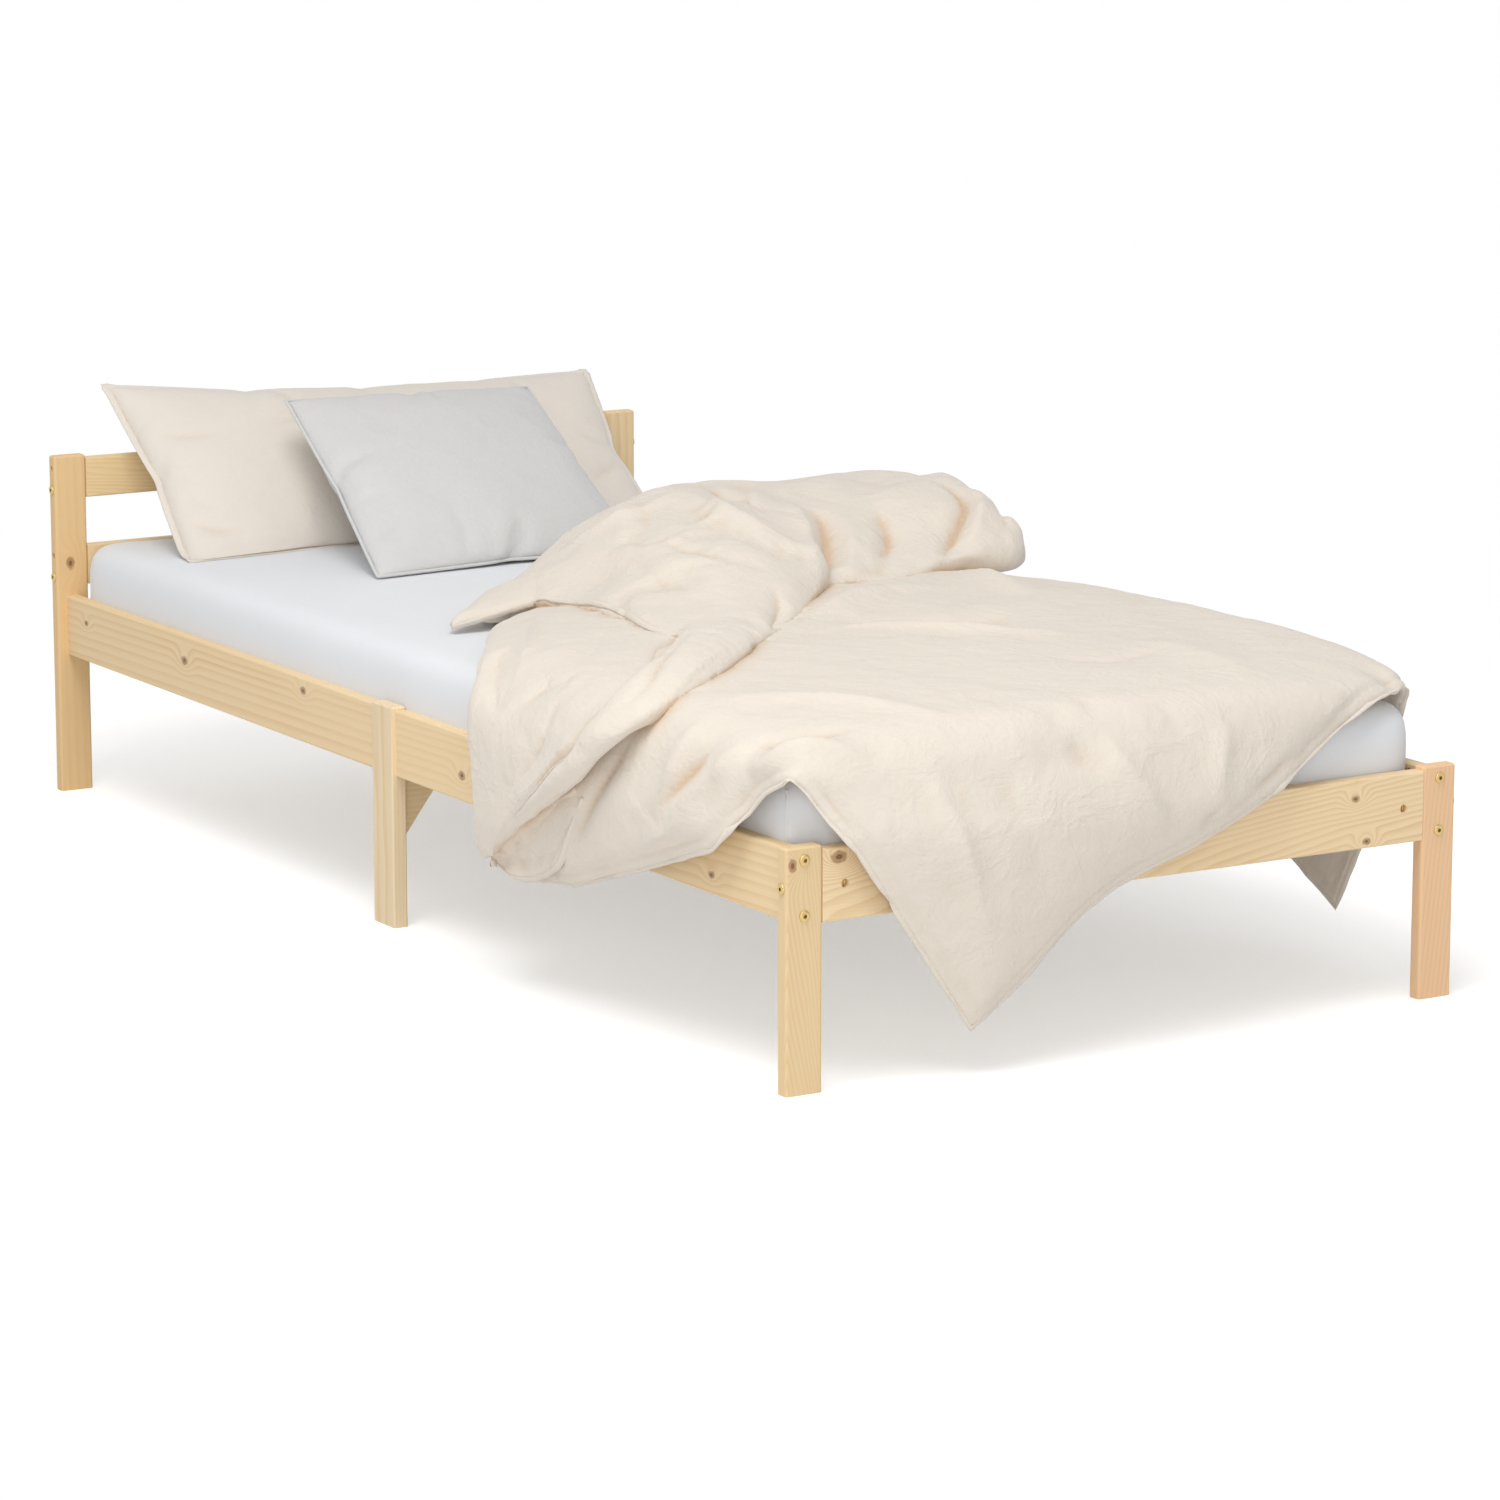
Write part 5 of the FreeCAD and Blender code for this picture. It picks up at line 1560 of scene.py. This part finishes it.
FIELD_FOLDS = folds(
    (16.5, 25, (-41, -360, 420), (47, -300, 420), (136, -255, 420), (240, -240, 420)),
    (-22.5, 29, (-20, -385, 420), (50, -430, 420), (110, -470, 420), (210, -460, 420)),
    (13.5, 17, (-63, -432, 420), (7, -462, 420), (60, -530, 420), (187, -639, 420)),
    (15, 31, (351, -110, 420), (328, -220, 420), (295, -360, 420)),
    (12, 25, (-430, -760, 420), (-363, -820, 420), (-300, -900, 420), (-239, -1018, 410)),
    (16.5, 14, (-490, -943, 370), (-477, -975, 390), (-446, -995, 400), (-370, -1030, 390)),
    (-15, 15, (-485, -915, 390), (-440, -955, 410), (-360, -985, 410)),
    (12, 15, (-470, -815, 410), (-508, -809, 370), (-520, -799, 340), (-528, -770, 290)),
    (13.5, 14, (-460, -930, 410), (-497, -895, 370), (-512, -864, 340), (-525, -800, 280)),
    (-8.5, 13, (-465, -870, 410), (-499, -848, 370), (-515, -820, 340), (-524, -760, 280)),
    (-10.5, 12, (-500, -700, 380), (-530, -660, 320), (-530, -588, 220)),
    (9, 12, (-515, -860, 320), (-522, -820, 280), (-520, -740, 240)),
    (9, 43, (233, -700, 420), (228, -853, 420), (215, -1000, 410)),
    (9, 15, (-330, -1010, 400), (-280, -1060, 300), (-230, -1075, 160)),
    (-4.5, 20, (-250, -1000, 400), (-190, -1062, 300), (-150, -1070, 200)),
    (10.5, 17, (-80, -990, 410), (-30, -1060, 340), (20, -1065, 270)),
    (-3, 26, (-130, -960, 410), (-90, -1045, 360), (-40, -1062, 260)),
    (7.5, 15, (130, -980, 400), (110, -1050, 350), (90, -1060, 290)),
    (-6.5, 22, (60, -760, 420), (130, -800, 420), (230, -780, 420)),
    (-6.5, 6, (231, -1064, 339), (195, -1072, 319), (163, -1077, 303), (141, -1081, 295)),
    (-6.5, 6, (108, -1085, 284), (89, -1085, 275), (72, -1086, 264)),
    (12, 25, (480, -520, 400), (513, -600, 280), (513, -720, 120)),
)


def surface_through(spots, places):
    """Heights of a smooth surface through given spots, at other places."""
    spots = np.asarray(spots, float)

    def bend(a, b):
        far = np.linalg.norm(a[:, None, :2] - b[None, :, :2], axis=2)
        return far**2 * np.log(np.maximum(far, 1e-9))

    count = len(spots)
    flat = np.column_stack([np.ones(count), spots[:, :2]])
    table = np.zeros((count + 3, count + 3))
    table[:count, :count] = bend(spots, spots) + np.eye(count) * 2e-4
    table[:count, count:] = flat
    table[count:, :count] = flat.T
    weights = np.linalg.solve(table, np.concatenate([spots[:, 2], np.zeros(3)]))
    level = np.column_stack([np.ones(len(places)), places[:, :2]]) @ weights[count:]
    return bend(places, spots) @ weights[:count] + level


def between_edges(first, second, rows, columns, crown):
    """A grid of points from one edge to another, raised in the middle."""
    one = smooth_path(first, rows)
    two = smooth_path(second, rows)
    share = np.linspace(0, 1, columns)[None, :, None]
    grid = one[:, None] * (1 - share) + two[:, None] * share
    normal = grid_normals(grid)
    if (normal[..., 2] - normal[..., 0]).mean() < 0:
        normal = -normal
    width = np.linalg.norm(two - one, axis=1)[:, None, None]
    bulge = np.sign(crown) * np.minimum(abs(crown), 0.2 * width)
    return grid + normal * bulge * np.sin(math.pi * share) ** 0.8


def duvet_piece(name, form, cotton):
    """A piece of the duvet from its points and faces."""
    return piece(name, *form, cotton, "duvet", "duvet_cotton")


def hem_along(name, made, line, cotton, count=120, lift=0.0005, half_height=0.0024):
    """A hem sewn along a line on a piece of the duvet."""
    places, normals = laid_on(made, smooth_path(line, count))
    cord = tube(places + normals * lift, normals, HEM_HALF_WIDTH, half_height, False)
    duvet_piece(name, cord, cotton)


class BED_OT_duvet(bpy.types.Operator):
    """Makes the duvet: a draped lower layer, a thrown-back end and a flap at the near side"""

    bl_idname = "bed.duvet"
    bl_label = "Duvet"

    def execute(self, context):
        bedding = context.scene.bed_bedding
        cotton = woven(
            "duvet_cotton", bedding.duvet, pitch=0.0012, crumple=0.55, sheen=0.2, weave=0.25
        )
        field = self.make_field(bedding, cotton)
        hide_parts("duvet")
        flap, pocket = self.make_flap(cotton)
        heap = self.make_heap(cotton)
        layers = [field, flap, heap]
        # Painted shade in the folds and where the layers touch.
        for layer in layers:
            paint_fold_shade(layer, [other for other in layers if other is not layer])
        paint_fold_shade(pocket, [flap, heap])
        return {"FINISHED"}

    def make_flap(self, cotton):
        """The layer that comes out from under the heap and hangs at the near side."""
        grid = between_edges(FLAP_HEAD_EDGE, FLAP_FOOT_EDGE, 80, 40, crown=0.002)
        form, _ = quilt_from(grid, loft=0.024, rim_share=0.3, rim_reach=0.04)
        flap = duvet_piece("duvet_flap", form, cotton)
        plump(flap, grow=0.04, pressure=1.0, cap=0.006, bending=0.2)
        take_on(flap, "SUBSURF", levels=1)
        press_folds(flap, FLAP_FOLDS)
        crumple(flap)
        grid = between_edges(POCKET_UPPER_EDGE, POCKET_LOWER_EDGE, 40, 24, crown=-0.012)
        form, _ = quilt_from(grid, loft=0.012, rim_share=0.4, rim_reach=0.02)
        pocket = duvet_piece("duvet_pocket", form, cotton)
        crumple(pocket)
        hem_along(
            "duvet_mouth_hem", pocket, POCKET_LOWER_EDGE, cotton, 80, lift=0.0, half_height=0.0022
        )
        return flap, pocket

    def make_heap(self, cotton):
        """The thrown-back end: its crown and the band in front, in one piece."""
        grid = between_edges(BAND_UPPER_EDGE, BAND_LOWER_EDGE, 90, 30, crown=0.013)
        loft = np.minimum(0.030, np.linalg.norm(grid[:, -1] - grid[:, 0], axis=1) * 0.5)
        band, _ = quilt_from(grid, loft[:, None], rim_share=0.3, rim_reach=0.04)
        points, faces = [], []
        for form in (self.crown_form(), band):
            add_form(points, faces, *form)
        heap = duvet_piece("duvet_crown", (points, faces), cotton)
        take_on(heap, "WELD", merge_threshold=0.0004)
        take_on(heap, "REMESH", mode="VOXEL", voxel_size=0.0065)
        take_on(heap, "SMOOTH", iterations=5, factor=0.5)
        plump(heap, grow=0.05, pressure=2.0, cap=0.009, bending=0.3)
        take_on(heap, "REMESH", mode="VOXEL", voxel_size=0.005)
        take_on(heap, "SMOOTH", iterations=3, factor=0.5)
        press_folds(heap, CROWN_FOLDS)
        crumple(heap)
        grid = between_edges(TIP_HEM_EDGE, TIP_BACK_EDGE, 40, 24, crown=0.006)
        form, _ = quilt_from(grid, loft=0.012, rim_share=0.4, rim_reach=0.02)
        corner = duvet_piece("duvet_corner", form, cotton)
        crumple(corner)
        hem_along("duvet_tip_hem", corner, TIP_HEM_EDGE[:3], cotton)
        hem_along("duvet_end_hem", heap, END_HEM, cotton)
        hem_along("duvet_side_hem", heap, SIDE_HEM, cotton)
        return heap

    def crown_form(self):
        """Points and faces of the crowned heap, with a lip all round."""
        rows, columns = 130, 70
        front = smooth_path([(*spot, 0) for spot in CROWN_FRONT], rows)
        back = smooth_path([(*spot, 0) for spot in CROWN_BACK], rows)
        share = (0.5 - 0.5 * np.cos(np.linspace(0, math.pi, columns)))[None, :, None]
        grid = front[:, None] * (1 - share) + back[:, None] * share
        flat = grid.reshape(-1, 3)
        rim = np.vstack([front, back, grid[-1]])[:, :2]
        far = np.sqrt(((flat[:, None, :2] - rim[None]) ** 2).sum(axis=2))
        # The lip is tight along the hem, softer where the roll turns over, and softest behind.
        ahead = np.interp(np.linspace(0, 1, rows), [0.34, 0.44], [0.012, 0.035])
        reach = np.concatenate([ahead, np.full(rows, 0.05), np.full(columns, 0.02)])
        edge = far.min(axis=1) / reach[far.argmin(axis=1)]
        lip = np.sqrt(1 - (1 - np.clip(edge, 0, 1)) ** 2)
        # It stands on the lower layer, and past that layer's end on the sheet.
        up_bed = (flat[:, :2] - FOOT_TIP) @ ALONG_LENGTH
        rest = np.interp(up_bed, [0.98, 1.12], [BED_TOP + 0.036, BED_TOP + 0.003])
        height = np.maximum(surface_through(CROWN_HEIGHTS, flat), rest + 0.006)
        top = flat.copy()
        top[:, 2] = rest + (height - rest) * lip
        under = flat.copy()
        under[:, 2] = rest
        return np.vstack([top, under]), grid_faces(rows, columns, doubled=True)

    def make_field(self, bedding, cotton):
        """The lower layer falls over the bed's edges as cloth and then gets its filling."""
        rows = round(bedding.duvet_reach / FIELD_PITCH) + 1
        columns = round(bedding.duvet_width / FIELD_PITCH) + 1
        q, p = np.meshgrid(
            np.linspace(0, bedding.duvet_reach, rows),
            np.linspace(0, bedding.duvet_width, columns),
            indexing="ij",
        )
        out = np.interp(q, *zip(*NEAR_EDGE)) * np.clip(1 - p / 0.35, 0, 1)
        # The foot edge is drawn up in a scallop by its near end, and a little at its far corner.
        scallop = 0.03 * np.exp(-(((p - 0.22) / 0.13) ** 2))
        q += (scallop + np.interp(p, [0.5, 0.75], [0, 0.014])) * np.clip(1 - q / 0.25, 0, 1)
        p -= out
        flat = FOOT_TIP + p[..., None] * ALONG_WIDTH + q[..., None] * ALONG_LENGTH
        level = np.full((rows, columns, 1), BED_TOP + 0.026)
        grid = np.concatenate([flat, level], axis=2)
        grid[..., 2] += soft_noise(grid.reshape(-1, 3), 0.45, 5).reshape(rows, columns) * 0.004
        scratch = duvet_piece("scratch", (grid.reshape(-1, 3), grid_faces(rows, columns)), cotton)
        # The end under the heap is held where it lies on the bed.
        on_bed = (np.abs(grid[..., 0]) < 0.4) & (q > bedding.duvet_reach - 0.14)
        pins = np.where(on_bed, 1.0, 0.0).ravel()
        upper = scratch_block("upper", *MATTRESS_BLOCK)
        lower = scratch_block("lower", *FRAME_BLOCK)
        run_cloth(
            scratch,
            FALL_FRAMES,
            pins=pins,
            colliders=(upper, lower),
            gravity=1.0,
            gap=0.022,
            **FALLING_CLOTH,
        )
        grid = points_of(scratch).reshape(rows, columns, 3)
        form, rim = quilt_from(
            grid, bedding.duvet_loft, rim_share=0.16, rim_reach=0.26, flat_under=True
        )
        field = duvet_piece("duvet_field", form, cotton)
        plump(field, grow=0.035, pressure=1.5, cap=0.016, colliders=(upper, lower), bending=0.4)
        discard(scratch, upper, lower)
        points = points_of(field)
        rim_top, rim_under = points[rim], points[np.array(rim) + rows * columns]
        line = (rim_top + rim_under) / 2
        take_on(field, "SUBSURF", levels=1)
        divide_outside(field)
        sew_line(field, line, inset=0.016, depth=0.003)
        press_folds(field, FIELD_FOLDS)
        crumple(field)
        cord = tube(line, unit(rim_top - rim_under), 0.0045, 0.0018, closed=True)
        crumple(duvet_piece("duvet_field_hem", cord, cotton))
        return field


# Stage


CAMERA_SPOT = (-3.7323, -6.3565, 1.6578)
# Each lamp's place and what it points at.
LAMPS = {
    "key": ((-1.5, -1.6, 3.8), (0.1, -0.1, 0.2)),
    "fill": ((-3.2, -5.6, 1.15), (0.1, -0.4, 0.25)),
}
LAMP_SIZE = 2.2
FLOOR_HALF = 60.0
FLOOR_CORNERS = ((-1, -1), (1, -1), (1, 1), (-1, 1))
FLOOR_GLOW = 0.41
# Where the floor starts to fade to white, and where it is white.
FADE_START = 0.9
FADE_END = 2.4
WHITE = (1, 1, 1, 1)


class BED_OT_stage(bpy.types.Operator):
    """Makes the floor, the lamps and the camera"""

    bl_idname = "bed.stage"
    bl_label = "Stage"

    def execute(self, context):
        stage = context.scene.bed_stage
        self.make_floor(stage)
        self.make_light(context, stage)
        lens = bpy.data.cameras.new("camera")
        lens.lens = stage.lens
        lens.sensor_width = 36.0
        lens.clip_end = 200.0
        camera = put_in_scene("camera", lens)
        camera.location = CAMERA_SPOT
        camera.rotation_euler = (math.pi / 2 - stage.pitch, 0.0, stage.yaw)
        context.scene.camera = camera
        context.scene.view_settings.view_transform = "Standard"
        return {"FINISHED"}

    def make_floor(self, stage):
        """A wide floor that the camera sees as white and that keeps the bed's shadow."""
        f = Finish("floor")
        mesh = bpy.data.meshes.new("floor")
        corners = [(x * FLOOR_HALF, y * FLOOR_HALF, 0) for x, y in FLOOR_CORNERS]
        mesh.from_pydata(corners, [], [(0, 1, 2, 3)])
        f.surface(Base_Color=rgba(stage.floor), Roughness=0.9, Specular_IOR_Level=0.1)
        glow = f.node("ShaderNodeEmission", sockets={"Color": WHITE, "Strength": FLOOR_GLOW})
        plain = Wire(f, f.shader.outputs[0])
        near = f.node("ShaderNodeAddShader", sockets={0: plain, 1: glow})
        white = f.node("ShaderNodeEmission", sockets={"Color": WHITE, "Strength": 1.0})
        away = f.distance(f.place(), (0.0, 0.0, 0.0), (1.0, 1.4, 1.0))
        away = away.step(FADE_START, FADE_END)
        faded = f.node("ShaderNodeMixShader", sockets={0: away, 1: near, 2: white})
        f.where_seen(plain, faded)
        mesh.materials.append(f.material)
        put_in_scene("floor", mesh)

    def make_light(self, context, stage):
        """An even sky, a broad lamp overhead and a lower one in front."""
        f = Finish("studio", sky=True)
        f.fill(f.shader, {"Color": WHITE, "Strength": stage.sky})
        white = f.node("ShaderNodeBackground", sockets={"Color": WHITE, "Strength": 1.0})
        f.where_seen(Wire(f, f.shader.outputs[0]), white)
        context.scene.world = f.material
        for name, (spot, target) in LAMPS.items():
            lamp = bpy.data.lights.new(name, "AREA")
            lamp.energy = getattr(stage, name)
            lamp.size = LAMP_SIZE
            made = put_in_scene(name, lamp)
            made.location = spot
            aim = Vector(target) - Vector(spot)
            made.rotation_euler = aim.to_track_quat("-Z", "Y").to_euler()


class VIEW3D_PT_bed(bpy.types.Panel):
    """Lists the bed's pieces in the sidebar"""

    bl_idname = "VIEW3D_PT_bed"
    bl_label = "Dressed pine bed"
    bl_space_type = "VIEW_3D"
    bl_region_type = "UI"
    bl_category = "Bed"

    def draw(self, context):
        for maker in MAKERS:
            self.layout.operator(maker.bl_idname)
        for group in SETTINGS:
            settings = getattr(context.scene, group)
            for key in settings.__annotations__:
                self.layout.prop(settings, key)


SETTINGS = {
    "bed_timber": TimberSettings,
    "bed_fastenings": FasteningSettings,
    "bed_bedding": BeddingSettings,
    "bed_stage": StageSettings,
}
MAKERS = (
    BED_OT_timber,
    BED_OT_fastenings,
    BED_OT_mattress,
    BED_OT_pillow,
    BED_OT_cushion,
    BED_OT_duvet,
    BED_OT_stage,
)


def register():
    """Adds the settings, operators and panel."""
    for name, group in SETTINGS.items():
        bpy.utils.register_class(group)
        setattr(bpy.types.Scene, name, PointerProperty(type=group))
    for maker in (*MAKERS, VIEW3D_PT_bed):
        bpy.utils.register_class(maker)


def unregister():
    """Takes the settings, operators and panel away."""
    for maker in (VIEW3D_PT_bed, *reversed(MAKERS)):
        bpy.utils.unregister_class(maker)
    for name, group in reversed(SETTINGS.items()):
        delattr(bpy.types.Scene, name)
        bpy.utils.unregister_class(group)


def main():
    """Builds the bed piece by piece."""
    register()
    for maker in MAKERS:
        part, step = maker.bl_idname.split(".")
        getattr(getattr(bpy.ops, part), step)()


if __name__ == "__main__":
    main()
